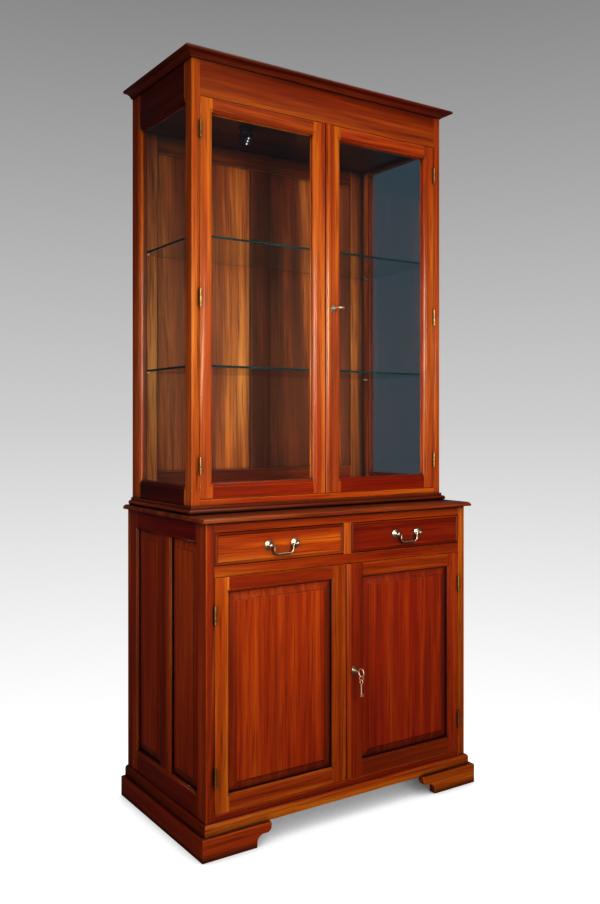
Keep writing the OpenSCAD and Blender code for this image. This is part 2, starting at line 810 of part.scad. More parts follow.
// Four corner posts of the base
module base_corner_posts() {
    color(mahogany) difference() {
        pair() on_left_end(base_w / 2) difference() {
            intersection() {
                base_end_blank();
                union() {
                    block([-end_bay_1, 0, base_z], [-base_front, base_end_t, base_top_z]);
                    block([-base_back, 0, base_z], [-end_bay_2 - end_bay, base_end_t, base_top_z]);
                }
            }
            base_end_tenons();
        }
        base_front_tenons();
        frame_leaf_cuts(base_hinge_x, base_front, base_hinge_zs);
        pin_pegs(base_in, cupboard_pin_y, [cupboard_shelf_under]);
        pair() block([-base_in - back_rebate, base_back - base_back_t, base_z],
            [-base_in, base_back, base_top_z]);
    }
}

// Rails and middle upright of both base ends
module base_end_rails() {
    color(mahogany) difference() {
        pair() on_left_end(base_w / 2) {
            difference() {
                union() {
                    intersection() {
                        base_end_blank();
                        for (z = end_rails_z) {
                            block([-end_bay_2 - end_bay, 0, z[0]], [-end_bay_1, base_end_t, z[1]]);
                        }
                    }
                    base_end_tenons();
                }
                muntin_tenons(glue_line);
            }
            union() {
                intersection() {
                    base_end_blank();
                    block([-end_bay_2, 0, end_panel_z[0] + glue_line],
                        [-end_bay_1 - end_bay, base_end_t, end_panel_z[1] - glue_line]);
                }
                muntin_tenons(0);
            }
        }
        base_floor_tongues();
    }
}

// Raised panels of both base ends
module base_end_panels() {
    color(panel_wood) pair() on_left_end(base_w / 2) for (o = end_lights()) raised_panel(o);
}

// Stub tenons of the upright between the drawers, as one bar through it
module divider_tenons(fit) {
    half_w = divider_w / 3 + fit;
    mid_y = base_front + front_rail_d / 2;
    block([-half_w, mid_y - tenon_t / 2 - fit, drawer_z - stub_l - fit],
        [half_w, mid_y + tenon_t / 2 + fit, top_rail_z + stub_l + fit]);
}

// Three rails across the front of the base, and the upright between the drawers
module base_front_rails() {
    back = base_front + front_rail_d;
    color(mahogany) difference() {
        union() {
            for (z = front_rails_z) {
                block([-base_in, base_front, z[0]], [base_in, back, z[1]]);
            }
            base_front_tenons();
        }
        divider_tenons(glue_line);
    }
    color(mahogany) union() {
        block([-divider_w / 2, base_front, drawer_z + glue_line],
            [divider_w / 2, back, top_rail_z - glue_line]);
        divider_tenons(0);
    }
}

// Floor of the cupboard
module base_floor_board() {
    color(pale_wood) union() {
        block([-base_in, base_front + front_rail_d, base_z], [base_in, base_back - base_back_t, door_z]);
        base_floor_tongues();
    }
}

// Back of the base, in the rebates of the back posts
module base_back_panel() {
    side = base_in + back_rebate;
    color(pale_wood) block([-side, base_back - base_back_t, base_z], [side, base_back, base_top_z]);
}

// Board between drawers and cupboard, which the drawers run on
module drawer_dust_board() {
    color(pale_wood) block([-base_in, base_front + front_rail_d, drawer_z - dust_board_t],
        [base_in, base_back - base_back_t, drawer_z]);
}

// Bearers under the dust board, and the drawers' guide
module drawer_guides() {
    back = base_back - base_back_t;
    front = base_front + front_rail_d;
    bearer = drawer_rail_h - dust_board_t;
    guide_h = drawer_h / 2;
    color(pale_wood) pair()
        block([-base_in, front, drawer_rail_z], [-base_in + bearer, back, drawer_rail_z + bearer]);
    color(pale_wood) block([-divider_w / 2, front, drawer_z], [divider_w / 2, back, drawer_z + guide_h]);
}

// Shelf in the cupboard
module cupboard_shelf() {
    side = base_in - edge_fit;
    front = cupboard_pin_y[0] - pin_w / 2;
    color(pale_wood) block([-side, front, cupboard_shelf_under],
        [side, base_back - base_back_t - edge_fit, cupboard_shelf_under + cupboard_shelf_t]);
}

// Shelf pins at the given places, with their pegs in the posts
module pins_at(half_w, ys, zs) {
    pin_pegs(half_w, ys, zs);
    pair() for (y = ys, z = zs)
        block([-half_w, y - pin_w / 2, z - pin_t], [-half_w + pin_out, y + pin_w / 2, z]);
}

// Brass pins under the glass shelves and the cupboard shelf
module shelf_pins() {
    color(old_brass) {
        pins_at(upper_in, [pin_front_y, pin_back_y], shelf_z);
        pins_at(base_in, cupboard_pin_y, [cupboard_shelf_under]);
    }
}

// Rounded edge of the base top between a and b, seen from the side
module base_top_section(a, b, round_b) {
    difference() {
        translate([a, base_top_z]) square([b - a, base_top_t]);
        for (side = round_b ? [0, 1] : [0]) {
            translate([side == 0 ? a : b, upper_z]) mirror([side, 0]) difference() {
                translate([-1, -base_top_r]) square([base_top_r + 1, base_top_r + 1]);
                translate([base_top_r, -base_top_r]) circle(r = base_top_r);
            }
        }
    }
}

// Top board of the base, with a thumb-moulded front and sides
module base_top() {
    side = base_w / 2 + base_top_out;
    front = base_front - base_top_out;
    color(mahogany) intersection() {
        translate([0, base_back, 0]) rotate([90, 0, 0]) linear_extrude(base_back - front)
            base_top_section(-side, side, true);
        translate([-side, 0, 0]) rotate([90, 0, 90]) linear_extrude(2 * side)
            base_top_section(front, base_back, false);
    }
}

// Section of the waist moulding: a bead below and a fillet above
module waist_section() {
    translate([0, upper_z]) square([waist_out - waist_bead_r, 2 * waist_bead_r]);
    translate([waist_out - waist_bead_r, upper_z + waist_bead_r]) circle(r = waist_bead_r);
    translate([0, upper_z]) square([waist_fillet, waist_h]);
}

// Moulding round the foot of the upper carcase
module waist_moulding() {
    color(mahogany) surround(upper_w, upper_front, upper_back, waist_out, 0) intersection() {
        waist_section();
        translate([0, upper_z]) square([waist_out, waist_h]);
    }
}

// Glass opening of an upper end, as drawn for on_left_end
function side_light() = [-side_light_y[1], -side_light_y[0], side_light_z[0], side_light_z[1]];

// Uncut upper end frame
module upper_end_blank() {
    difference() {
        block([-upper_back, 0, upper_z], [-upper_front, upper_end_t, cornice_z]);
        framed_opening(side_light(), upper_end_t, glass_ovolo, true);
    }
}

// Tenons that join the rails of an upper end to its posts
module upper_end_tenons() {
    for (z = side_rails_z) {
        rail_tenons(-side_light_y[1], -side_light_y[0], z[0], z[1], upper_end_t, 0);
    }
}

// Tenons of the frieze and of the rail under the glazed doors
module upper_front_tenons() {
    front_tenons(upper_in, upper_front, upper_rail_t, upper_z, glazed_z);
    front_tenons(upper_in, upper_front, upper_rail_t, frieze_z, cornice_z);
}

// Tongues of the upper floor and ceiling boards
module upper_board_tongues() {
    board_tongues(upper_in, side_light_y[0], side_light_y[1], glazed_z - upper_board_t, upper_board_t);
    board_tongues(upper_in, side_light_y[0], side_light_y[1], ceiling_z, upper_board_t);
}

// Four corner posts of the upper carcase
module upper_corner_posts() {
    color(mahogany) difference() {
        pair() on_left_end(upper_w / 2) difference() {
            intersection() {
                upper_end_blank();
                union() {
                    block([-side_light_y[0], 0, upper_z], [-upper_front, upper_end_t, cornice_z]);
                    block([-upper_back, 0, upper_z], [-side_light_y[1], upper_end_t, cornice_z]);
                }
            }
            upper_end_tenons();
        }
        upper_front_tenons();
        frame_leaf_cuts(upper_hinge_x, upper_front, upper_hinge_zs);
        pin_pegs(upper_in, [pin_front_y, pin_back_y], shelf_z);
        pair() block([-upper_in - back_rebate, upper_back - back_frame_t, upper_z],
            [-upper_in, upper_back, cornice_z]);
    }
}

// Top and bottom rails of both upper ends
module upper_end_rails() {
    color(mahogany) difference() {
        pair() on_left_end(upper_w / 2) union() {
            intersection() {
                upper_end_blank();
                for (z = side_rails_z) {
                    block([-side_light_y[1], 0, z[0]], [-side_light_y[0], upper_end_t, z[1]]);
                }
            }
            upper_end_tenons();
        }
        upper_board_tongues();
    }
}

// Panes in the upper ends
module side_panes() {
    color(clear_glass) pair() on_left_end(upper_w / 2) pane(side_light());
}

// Beads that hold the side panes
module side_pane_beads() {
    color(mahogany) pair() on_left_end(upper_w / 2) pane_beads(side_light(), upper_end_t);
}

// Frieze above the glazed doors and rail below them
module upper_front_rails() {
    color(mahogany) union() {
        for (z = [[upper_z, glazed_z], [frieze_z, cornice_z]]) {
            block([-upper_in, upper_front, z[0]], [upper_in, upper_front + upper_rail_t, z[1]]);
        }
        upper_front_tenons();
    }
}

// Board between the upper ends with its underside at z, tongued into their rails
module upper_board(z) {
    union() {
        block([-upper_in, upper_front + upper_rail_t, z],
            [upper_in, upper_back - back_frame_t, z + upper_board_t]);
        board_tongues(upper_in, side_light_y[0], side_light_y[1], z, upper_board_t);
    }
}

// Floor of the display space
module upper_floor_board() {
    color(dark_mahogany) upper_board(glazed_z - upper_board_t);
}

// Ceiling of the display space
module upper_ceiling_board() {
    color(dark_mahogany) upper_board(ceiling_z);
}

// Dust cover that the cornice is planted round
module top_board() {
    color(dark_mahogany)
        block([-upper_w / 2, upper_front, cornice_z], [upper_w / 2, upper_back, cornice_z + top_board_t]);
}

// Section of the cornice: a round nose over a hollow
module cornice_section() {
    low = [cornice_root, cornice_z];
    high = [cornice_out - cornice_step, total_h - cornice_lip];
    run = high - low;
    chord = norm(run);
    r = (chord * chord / 4 + cornice_sag * cornice_sag) / (2 * cornice_sag);
    away = [run[1], -run[0]] / chord;
    centre = (low + high) / 2 + away * (r - cornice_sag);
    nose_r = cornice_lip / 2;
    nose_x = cornice_out - nose_r;
    difference() {
        union() {
            polygon([[0, cornice_z], low, high, [nose_x, high[1]], [nose_x, total_h], [0, total_h]]);
            translate([nose_x, total_h - nose_r]) circle(r = nose_r, $fn = 64);
        }
        translate(centre) circle(r = r, $fn = 128);
    }
}

// Cornice moulding round the top
module cornice() {
    color(mahogany) surround(upper_w, upper_front, upper_back, cornice_out, 0) cornice_section();
}

// Openings of the framed back: [left, right, bottom, top]
function back_lights() = [
    for (side = [-1, 1])
        let (inner = back_muntin / 2, outer = upper_in + back_rebate - back_stile)
        [min(side * inner, side * outer), max(side * inner, side * outer),
            upper_z + back_bottom_rail, cornice_z - back_top_rail]
];

// Opening of the framed back, with the groove in the middle of its thickness
module back_opening(o) {
    block([o[0], -1, o[2]], [o[1], back_frame_t + 1, o[3]]);
    block([o[0] - groove_d, (back_frame_t - groove_w) / 2, o[2] - groove_d],
        [o[1] + groove_d, (back_frame_t + groove_w) / 2, o[3] + groove_d]);
}

// Framed back of the upper carcase: two stiles, a muntin and two rails
module upper_back_frame() {
    side = upper_in + back_rebate;
    rail = side - back_stile - glue_line;
    low = upper_z + back_bottom_rail;
    high = cornice_z - back_top_rail;
    color(dark_mahogany) translate([0, upper_back - back_frame_t, 0]) {
        pair() difference() {
            block([-side, 0, upper_z], [-side + back_stile, back_frame_t, cornice_z]);
            for (o = back_lights()) back_opening(o);
        }
        for (z = [[upper_z, low], [high, cornice_z]]) difference() {
            block([-rail, 0, z[0]], [rail, back_frame_t, z[1]]);
            for (o = back_lights()) back_opening(o);
        }
        difference() {
            block([-back_muntin / 2, 0, low + glue_line], [back_muntin / 2, back_frame_t, high - glue_line]);
            for (o = back_lights()) back_opening(o);
        }
    }
}

// Flat panels of the upper back
module upper_back_panels() {
    edge = groove_d - edge_fit;
    front = upper_back - (back_frame_t + groove_w) / 2;
    color(dark_mahogany) for (o = back_lights()) {
        block([o[0] - edge, front, o[2] - edge], [o[1] + edge, front + groove_w, o[3] + edge]);
    }
}

// Glass shelves on their pins
module glass_shelves() {
    side = upper_in - edge_fit;
    color(clear_glass) for (z = shelf_z) block([-side, shelf_front, z], [side, shelf_back, z + shelf_t]);
}

// Ceiling plate of the spotlight, with two ears for the tilt pins
module spotlight_plate() {
    ear_x = spot_head_d / 2 + ear_gap;
    color(black) translate([-spot_left, spot_y, 0]) difference() {
        union() {
            translate([0, 0, ceiling_z - spot_plate_t]) cylinder(d = spot_plate_d, h = spot_plate_t);
            for (x = [-ear_x - ear_t, ear_x]) {
                block([x, -ear_w / 2, spot_axis_z], [x + ear_t, ear_w / 2, ceiling_z - spot_plate_t]);
                translate([x, 0, spot_axis_z]) rotate([0, 90, 0]) cylinder(d = ear_w, h = ear_t);
            }
        }
        translate([-spot_plate_d, 0, spot_axis_z]) rotate([0, 90, 0])
            cylinder(d = spot_pin_d + 2 * turn_fit, h = 2 * spot_plate_d);
    }
}

// On the tilt axis
module at_spot() {
    translate([-spot_left, spot_y, spot_axis_z]) rotate([-spot_tilt, 0, 0]) children();
}

// Places three lenses in a row
module at_lenses() {
    for (step = [-1:1]) translate([0, step * lens_step, 0]) children();
}

// Lamp head that tilts between the ears
module spotlight_head() {
    pin_reach = spot_head_d / 2 + ear_gap + ear_t;
    color(black) at_spot() difference() {
        union() {
            translate([0, 0, -spot_head_h / 2]) cylinder(d = spot_head_d, h = spot_head_h);
            translate([-pin_reach, 0, 0]) rotate([0, 90, 0]) cylinder(d = spot_pin_d, h = 2 * pin_reach);
        }
        translate([0, 0, -spot_head_h / 2 - 1]) at_lenses() cylinder(d = lens_d, h = lens_seat + 1);
    }
}

// Three lenses in the face of the lamp head
module spotlight_lenses() {
    color("white") at_spot() translate([0, 0, -spot_head_h / 2 - lens_proud]) at_lenses()
        cylinder(d = lens_d, h = lens_seat + lens_proud);
}

// Section of the bead round a drawer front, with a rounded nose
module cock_bead_section() {
    nose = cock_bead_w / 2;
    tip = base_front - cock_bead_out;
    translate([nose, tip + nose]) circle(r = nose);
    translate([0, tip + nose]) square([cock_bead_w, base_front + cock_bead_in - glue_line - tip - nose]);
}

// Outer shape of one side of a drawer centred on x = 0, lapped into its front
module drawer_side_blank(x) {
    block([x, drawer_face + drawer_front_t - drawer_lap, drawer_low],
        [x + drawer_side_t, drawer_end, drawer_low + drawer_side_h]);
}

// Places of the drawer's two sides
function drawer_sides() = [-drawer_w / 2, drawer_w / 2 - drawer_side_t];

// Bottom board of a drawer, in grooves of its front and sides that are larger by fit
module drawer_bottom(fit) {
    side = drawer_w / 2 - drawer_side_t / 2 + fit;
    low = drawer_low + drawer_bottom_up - fit;
    block([-side, drawer_face + drawer_front_t - drawer_lap, low],
        [side, drawer_end, low + drawer_bottom_t + 2 * fit]);
}

// Front of a drawer centred on x = 0, with its four beads
module drawer_front() {
    bead_back = base_front + cock_bead_in;
    bead_in = cock_bead_w + glue_line;
    low = drawer_mid_z - drawer_front_h / 2;
    high = drawer_mid_z + drawer_front_h / 2;
    color(mahogany) difference() {
        union() {
            block([-drawer_w / 2, bead_back, low], [drawer_w / 2, drawer_face + drawer_front_t, high]);
            block([-drawer_w / 2 + bead_in, drawer_face, low + bead_in],
                [drawer_w / 2 - bead_in, bead_back, high - bead_in]);
        }
        for (x = drawer_sides()) drawer_side_blank(x);
        drawer_bottom(0);
        for (x = [-handle_cc / 2, handle_cc / 2]) translate([x, drawer_face - 1, drawer_mid_z])
            rotate([-90, 0, 0]) cylinder(d = bolt_d, h = drawer_front_t + 2);
    }
    color(mahogany) translate([0, 0, drawer_mid_z])
        mitred_strips(drawer_w, drawer_front_h, cock_bead_w) cock_bead_section();
}

// Sides, back and bottom of a drawer centred on x = 0
module drawer_box() {
    inner = drawer_w / 2 - drawer_side_t - glue_line;
    floor_z = drawer_low + drawer_bottom_up + drawer_bottom_t;
    color(pale_wood) for (x = drawer_sides()) difference() {
        drawer_side_blank(x);
        drawer_bottom(glue_line);
    }
    color(pale_wood) drawer_bottom(0);
    color(pale_wood) block([-inner, drawer_end - drawer_back_t, floor_z + glue_line],
        [inner, drawer_end, drawer_low + drawer_side_h]);
}

// Two handle posts of a drawer centred on x = 0: plate, stem, ball, bolt and nut
module handle_posts() {
    inside = drawer_front_t + bolt_tail;
    rise = rose_t - rose_rim;
    dome_r = (rose_d * rose_d / 4 + rise * rise) / 2 / rise;
    for (x = [-handle_cc / 2, handle_cc / 2]) translate([x, drawer_face, drawer_mid_z]) {
        color(old_brass) difference() {
            rotate([90, 0, 0]) {
                rotate_extrude() intersection() {
                    translate([0, rose_t - dome_r]) circle(r = dome_r, $fn = 160);
                    square([rose_d / 2, rose_t]);
                }
                cylinder(d = stem_d, h = bail_off);
                translate([0, 0, bail_off]) sphere(d = ball_d);
                translate([0, 0, -inside]) cylinder(d = bolt_d, h = inside);
            }
            translate([-ball_d, -bail_off, 0]) rotate([0, 90, 0])
                cylinder(d = bail_pin_d + 2 * turn_fit, h = 2 * ball_d);
        }
        color(old_brass) translate([0, drawer_front_t + nut_t, 0]) rotate([90, 0, 0]) difference() {
            cylinder(d = nut_d, h = nut_t, $fn = 6);
            translate([0, 0, -1]) cylinder(d = bolt_d + 2 * turn_fit, h = nut_t + 2);
        }
    }
}

// Swan-neck bail of a drawer centred on x = 0, hanging from its posts
module handle_bail() {
    pin_x = handle_cc / 2 - ball_d / 2 - bail_gap;
    pin_end = handle_cc / 2 + ball_d / 2 + bail_gap;
    root_x = pin_x - bail_gap;
    leg_x = pin_x - bail_top_r;
    grip_x = leg_x - bail_low_r;
    color(old_brass) translate([0, bail_y, drawer_mid_z]) union() {
        pair() {
            translate([root_x, 0, 0]) rotate([0, 90, 0]) cylinder(d = bail_pin_d, h = pin_end - root_x);
            translate([pin_x, 0, -bail_top_r]) rotate([90, 0, 0]) rotate_extrude(angle = 90, start = 90)
                translate([bail_top_r, 0]) circle(d = bail_d);
            translate([leg_x, 0, bail_low_r - bail_drop])
                cylinder(d = bail_d, h = bail_drop - bail_low_r - bail_top_r);
            translate([grip_x, 0, bail_low_r - bail_drop]) rotate([90, 0, 0])
                rotate_extrude(angle = 90, start = 270) translate([bail_low_r, 0]) circle(d = bail_d);
        }
        translate([-grip_x, 0, -bail_drop]) rotate([0, 90, 0]) cylinder(d = bail_d, h = 2 * grip_x);
    }
}

module at_left() { translate([-drawer_x, 0, 0]) children(); }
module at_right() { translate([drawer_x, 0, 0]) children(); }
module left_drawer_front() { at_left() drawer_front(); }
module left_drawer_box() { at_left() drawer_box(); }
module left_handle_posts() { at_left() handle_posts(); }
module left_handle_bail() { at_left() handle_bail(); }
module right_drawer_front() { at_right() drawer_front(); }
module right_drawer_box() { at_right() drawer_box(); }
module right_handle_posts() { at_right() handle_posts(); }
module right_handle_bail() { at_right() handle_bail(); }

// Stiles and rails of a door d with opening o. The children are cut out of the stiles.
module door_frame(d, o, ovolo, glazed) {
    color(mahogany) difference() {
        for (x = [[d[0], o[0]], [o[1], d[1]]]) block([x[0], 0, d[2]], [x[1], door_t, d[3]]);
        framed_opening(o, door_t, ovolo, glazed);
        door_tenons(d, o, glue_line);
        children();
    }
    color(mahogany) difference() {
        union() {
            for (z = [[d[2], o[2]], [o[3], d[3]]]) {
                block([o[0] + glue_line, 0, z[0]], [o[1] - glue_line, door_t, z[1]]);
            }
            door_tenons(d, o, 0);
        }
        framed_opening(o, door_t, ovolo, glazed);
    }
}

// Tenons of both rails of a door
module door_tenons(d, o, fit) {
    rail_tenons(o[0], o[1], d[2], o[2], door_t, fit);
    rail_tenons(o[0], o[1], o[3], d[3], door_t, fit);
}

// Half-round bead planted on the meeting edge of a right-hand door
module meeting_bead(d) {
    r = (bead_w * bead_w / 4 + bead_out * bead_out) / (2 * bead_out);
    color(mahogany) translate([d[0] + bead_w / 2, 0, d[2]]) linear_extrude(d[3] - d[2]) intersection() {
        translate([0, r - bead_out]) circle(r = r, $fn = 128);
        translate([-bead_w / 2, -bead_out]) square([bead_w, bead_out - glue_line]);
    }
}

// Keyhole through whatever it is cut from, for a key axis at the origin along y
module keyhole(depth_0, depth_1, room) {
    translate([0, depth_0, 0]) rotate([-90, 0, 0]) cylinder(d = shank_d + 2 * room, h = depth_1 - depth_0);
    block([-bit_t / 2 - key_room, depth_0, -bit_reach - key_room], [bit_t / 2 + key_room, depth_1, 0]);
}

// Outside of a lock case, for a key axis at the origin
module lock_case_blank() {
    block([right_meet - key_x, case_y, -case_below], [case_tail, door_t, case_above]);
}

// Lock case and keyhole plate
module lock() {
    color(steel) difference() {
        lock_case_blank();
        block([right_meet - key_x + case_wall, case_y + case_wall, -case_below + case_wall],
            [case_tail - case_wall, door_t - case_wall, case_above - case_wall]);
        block([right_meet - key_x - 1, bolt_y - bolt_fit, bolt_top - bolt_h - bolt_fit],
            [right_meet - key_x + 2 * case_wall, bolt_y + bolt_t + bolt_fit, bolt_top + bolt_fit]);
        keyhole(case_y - 1, case_y + 2 * case_wall, turn_fit);
    }
    color(old_brass) difference() {
        translate([0, -plate_t, 0]) rotate([-90, 0, 0]) linear_extrude(plate_t) keyhole_plate_outline();
        keyhole(-plate_t - 1, 1, key_room);
    }
}

// Oval of the keyhole plates
module keyhole_plate_outline() {
    scale([plate_w / plate_h, 1]) circle(d = plate_h);
}

// Bolt of a lock, notched for the key's bit. The notch lies beyond the key by shift.
module lock_bolt(shift) {
    start = right_meet - key_x + bolt_fit;
    tail = case_tail - case_wall - case_room;
    color(steel) difference() {
        block([start, bolt_y, bolt_top - bolt_h], [tail, bolt_y + bolt_t, bolt_top]);
        block([shift - notch_half, bolt_y - 1, notch_floor],
            [shift + notch_half, bolt_y + bolt_t + 1, bolt_top + 1]);
    }
}

// Pocket in the left-hand door that takes the thrown bolt
module strike_pocket(key_z) {
    translate([key_x, 0, key_z]) block(
        [right_meet - key_x - bolt_throw - case_room, bolt_y - case_room, bolt_top - bolt_h - case_room],
        [0, bolt_y + bolt_t + case_room, bolt_top + case_room]);
}

// Key with its shank on the y axis and its bit hanging down
module key() {
    collar_y = -plate_t - case_room - collar_l;
    color(old_brass) union() {
        translate([0, bow_y, 0]) rotate([0, 90, 0]) rotate_extrude() translate([bow_r, 0]) circle(d = bow_wire);
        translate([0, bow_y + bow_r, 0]) rotate([-90, 0, 0]) cylinder(d = shank_d, h = key_end - bow_y - bow_r);
        translate([0, collar_y, 0]) rotate([-90, 0, 0]) cylinder(d = shank_d + 2 * collar_out, h = collar_l);
        block([-bit_t / 2, bolt_y - case_room, -bit_reach], [bit_t / 2, key_end, 0]);
    }
}

// Ring through the bow of the base key, and the spare key that hangs from it
module spare_key_parts() {
    ring_r = (ring_id + ring_wire) / 2;
    ring_z = -bow_r + bow_wire / 2 + ring_fit - ring_id / 2;
    spare_bow_r = (spare_bow_d - spare_wire) / 2;
    spare_z = ring_z - ring_id / 2 + ring_fit + spare_wire / 2 - spare_bow_r;
    bit_z = spare_tip - spare_bow_r - spare_len;
    color(old_brass) translate([0, bow_y, ring_z]) rotate([90, 0, 0]) rotate_extrude()
        translate([ring_r, 0]) circle(d = ring_wire);
    color(old_brass) translate([0, bow_y, spare_z]) union() {
        rotate([0, 90, 0]) rotate_extrude() translate([spare_bow_r, 0]) circle(d = spare_wire);
        translate([0, 0, -spare_bow_r - spare_len]) cylinder(d = spare_shank_d, h = spare_len);
        block([-bit_t / 2, -bit_reach, bit_z], [bit_t / 2, 0, bit_z + bit_reach]);
    }
}

// Panelled left door of the base
module base_left_door_frame() {
    translate([0, base_front, 0]) door_frame(base_left, base_left_light, panel_ovolo, false) {
        door_leaf_cuts(base_hinge_x, base_hinge_zs);
        strike_pocket(base_key_z);
    }
}
module base_left_door_panel() { base_door_panel(base_left_light); }

// Panelled right door of the base, with the lock and the meeting bead
module base_right_door_frame() {
    translate([0, base_front, 0]) {
        door_frame(base_right, base_right_light, panel_ovolo, false) {
            mirror([1, 0, 0]) door_leaf_cuts(base_hinge_x, base_hinge_zs);
            lock_cuts(base_key_z);
        }
        meeting_bead(base_right);
    }
}
module base_right_door_panel() { base_door_panel(base_right_light); }

// Raised panel of a base door
module base_door_panel(o) {
    color(panel_wood) translate([0, base_front, 0]) raised_panel(o);
}

// Pocket for the lock case and the keyhole in front of it
module lock_cuts(key_z) {
    translate([key_x, 0, key_z]) {
        lock_case_blank();
        keyhole(-1, case_y + 1, key_room);
    }
}

// Glazed left door
module upper_left_door_frame() {
    translate([0, upper_front, 0]) door_frame(upper_left, upper_left_light, glass_ovolo, true) {
        door_leaf_cuts(upper_hinge_x, upper_hinge_zs);
        strike_pocket(upper_key_z);
    }
}
module upper_left_door_pane() { upper_door_pane(upper_left_light); }
module upper_left_door_beads() { upper_door_beads(upper_left_light); }

// Glazed right door, with the lock and the meeting bead
module upper_right_door_frame() {
    translate([0, upper_front, 0]) {
        door_frame(upper_right, upper_right_light, glass_ovolo, true) {
            mirror([1, 0, 0]) door_leaf_cuts(upper_hinge_x, upper_hinge_zs);
            lock_cuts(upper_key_z);
        }
        meeting_bead(upper_right);
    }
}
module upper_right_door_pane() { upper_door_pane(upper_right_light); }
module upper_right_door_beads() { upper_door_beads(upper_right_light); }

// Pane of a glazed door
module upper_door_pane(o) {
    color(clear_glass) translate([0, upper_front, 0]) pane(o);
}

// Beads behind the pane of a glazed door
module upper_door_beads(o) {
    color(mahogany) translate([0, upper_front, 0]) pane_beads(o, door_t);
}

// Hinge plate let into a door, on the +x side of the axis
module door_leaf_plate() {
    block([leaf_gap / 2, knuckle_d / 2 + leaf_gap, -hinge_l / 2],
        [leaf_gap / 2 + leaf_t, hinge_out + leaf_w, hinge_l / 2]);
}

// Hinge plate let into the frame, on the -x side
module frame_leaf_plate() {
    mirror([1, 0, 0]) door_leaf_plate();
}

// Recesses for the hinge leaves of a left-hand door
module door_leaf_cuts(hinge_x, zs) {
    for (z = zs) translate([-hinge_x, -hinge_out, z]) door_leaf_plate();
}

// Door half of a hinge on the z axis: middle knuckle and leaf
module door_leaf() {
    color(old_brass) difference() {
        union() {
            door_leaf_plate();
            block([leaf_gap / 2, 0, -knuckle_l / 2],
                [leaf_gap / 2 + leaf_t, knuckle_d / 2 + leaf_gap, knuckle_l / 2]);
            cylinder(d = knuckle_d, h = knuckle_l, center = true);
        }
        cylinder(d = hinge_pin_d + 2 * turn_fit, h = 2 * hinge_l, center = true);
    }
}

// Frame half of a hinge on the z axis: outer knuckles, leaf and riveted pin
module frame_leaf() {
    knuckle_z = knuckle_l / 2 + knuckle_gap;
    color(old_brass) union() {
        frame_leaf_plate();
        for (turn = [0, 1]) mirror([0, 0, turn]) {
            block([-leaf_gap / 2 - leaf_t, 0, knuckle_z],
                [-leaf_gap / 2, knuckle_d / 2 + leaf_gap, hinge_l / 2]);
            translate([0, 0, knuckle_z]) cylinder(d = knuckle_d, h = hinge_l / 2 - knuckle_z);
        }
        cylinder(d = hinge_pin_d, h = hinge_l, center = true);
    }
}

// Hinge halves screwed to the posts of both stages
module hinge_frame_leaves() {
    pair() for (z = base_hinge_zs) translate([-base_hinge_x, base_front - hinge_out, z]) frame_leaf();
    pair() for (z = upper_hinge_zs) translate([-upper_hinge_x, upper_front - hinge_out, z]) frame_leaf();
}

// Hinge halves of one left-hand door
module door_leaves(hinge_x, face, zs) {
    for (z = zs) translate([-hinge_x, face - hinge_out, z]) door_leaf();
}
module base_left_door_leaves() { door_leaves(base_hinge_x, base_front, base_hinge_zs); }
module base_right_door_leaves() { mirror([1, 0, 0]) door_leaves(base_hinge_x, base_front, base_hinge_zs); }
module upper_left_door_leaves() { door_leaves(upper_hinge_x, upper_front, upper_hinge_zs); }
module upper_right_door_leaves() { mirror([1, 0, 0]) door_leaves(upper_hinge_x, upper_front, upper_hinge_zs); }

// Locks and keys of both right-hand doors. The base key is upright, the upper key level.
module at_base_key() { translate([key_x, base_front, base_key_z]) children(); }
module at_upper_key() { translate([key_x, upper_front, upper_key_z]) children(); }
module base_lock() { at_base_key() lock(); }
module base_lock_bolt() { at_base_key() lock_bolt(0); }
module base_key() { at_base_key() key(); }
module spare_key() { at_base_key() spare_key_parts(); }
module upper_lock() { at_upper_key() lock(); }
module upper_lock_bolt() { at_upper_key() lock_bolt(bolt_throw); }
module upper_key() { at_upper_key() rotate([0, -90, 0]) key(); }

bracket_feet();
plinth_blocks();
plinth_moulding();
base_corner_posts();
base_end_rails();
base_end_panels();
base_front_rails();
base_floor_board();
base_back_panel();
drawer_dust_board();
drawer_guides();
cupboard_shelf();
shelf_pins();
base_top();
waist_moulding();
upper_corner_posts();
upper_end_rails();
side_panes();
side_pane_beads();
upper_front_rails();
upper_floor_board();
upper_ceiling_board();
top_board();
cornice();
upper_back_frame();
upper_back_panels();
glass_shelves();
spotlight_plate();
spotlight_head();
spotlight_lenses();
left_drawer_front();
left_drawer_box();
left_handle_posts();
left_handle_bail();
right_drawer_front();
right_drawer_box();
right_handle_posts();
right_handle_bail();
base_left_door_frame();
base_left_door_panel();
base_right_door_frame();
base_right_door_panel();
upper_left_door_frame();
upper_left_door_pane();
upper_left_door_beads();
upper_right_door_frame();
upper_right_door_pane();
upper_right_door_beads();
hinge_frame_leaves();
base_left_door_leaves();
base_right_door_leaves();
upper_left_door_leaves();
upper_right_door_leaves();
base_lock();
base_lock_bolt();
base_key();
spare_key();
upper_lock();
upper_lock_bolt();
upper_key();
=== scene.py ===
import math
import random

import bmesh
import bpy
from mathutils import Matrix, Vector
from mathutils.bvhtree import BVHTree


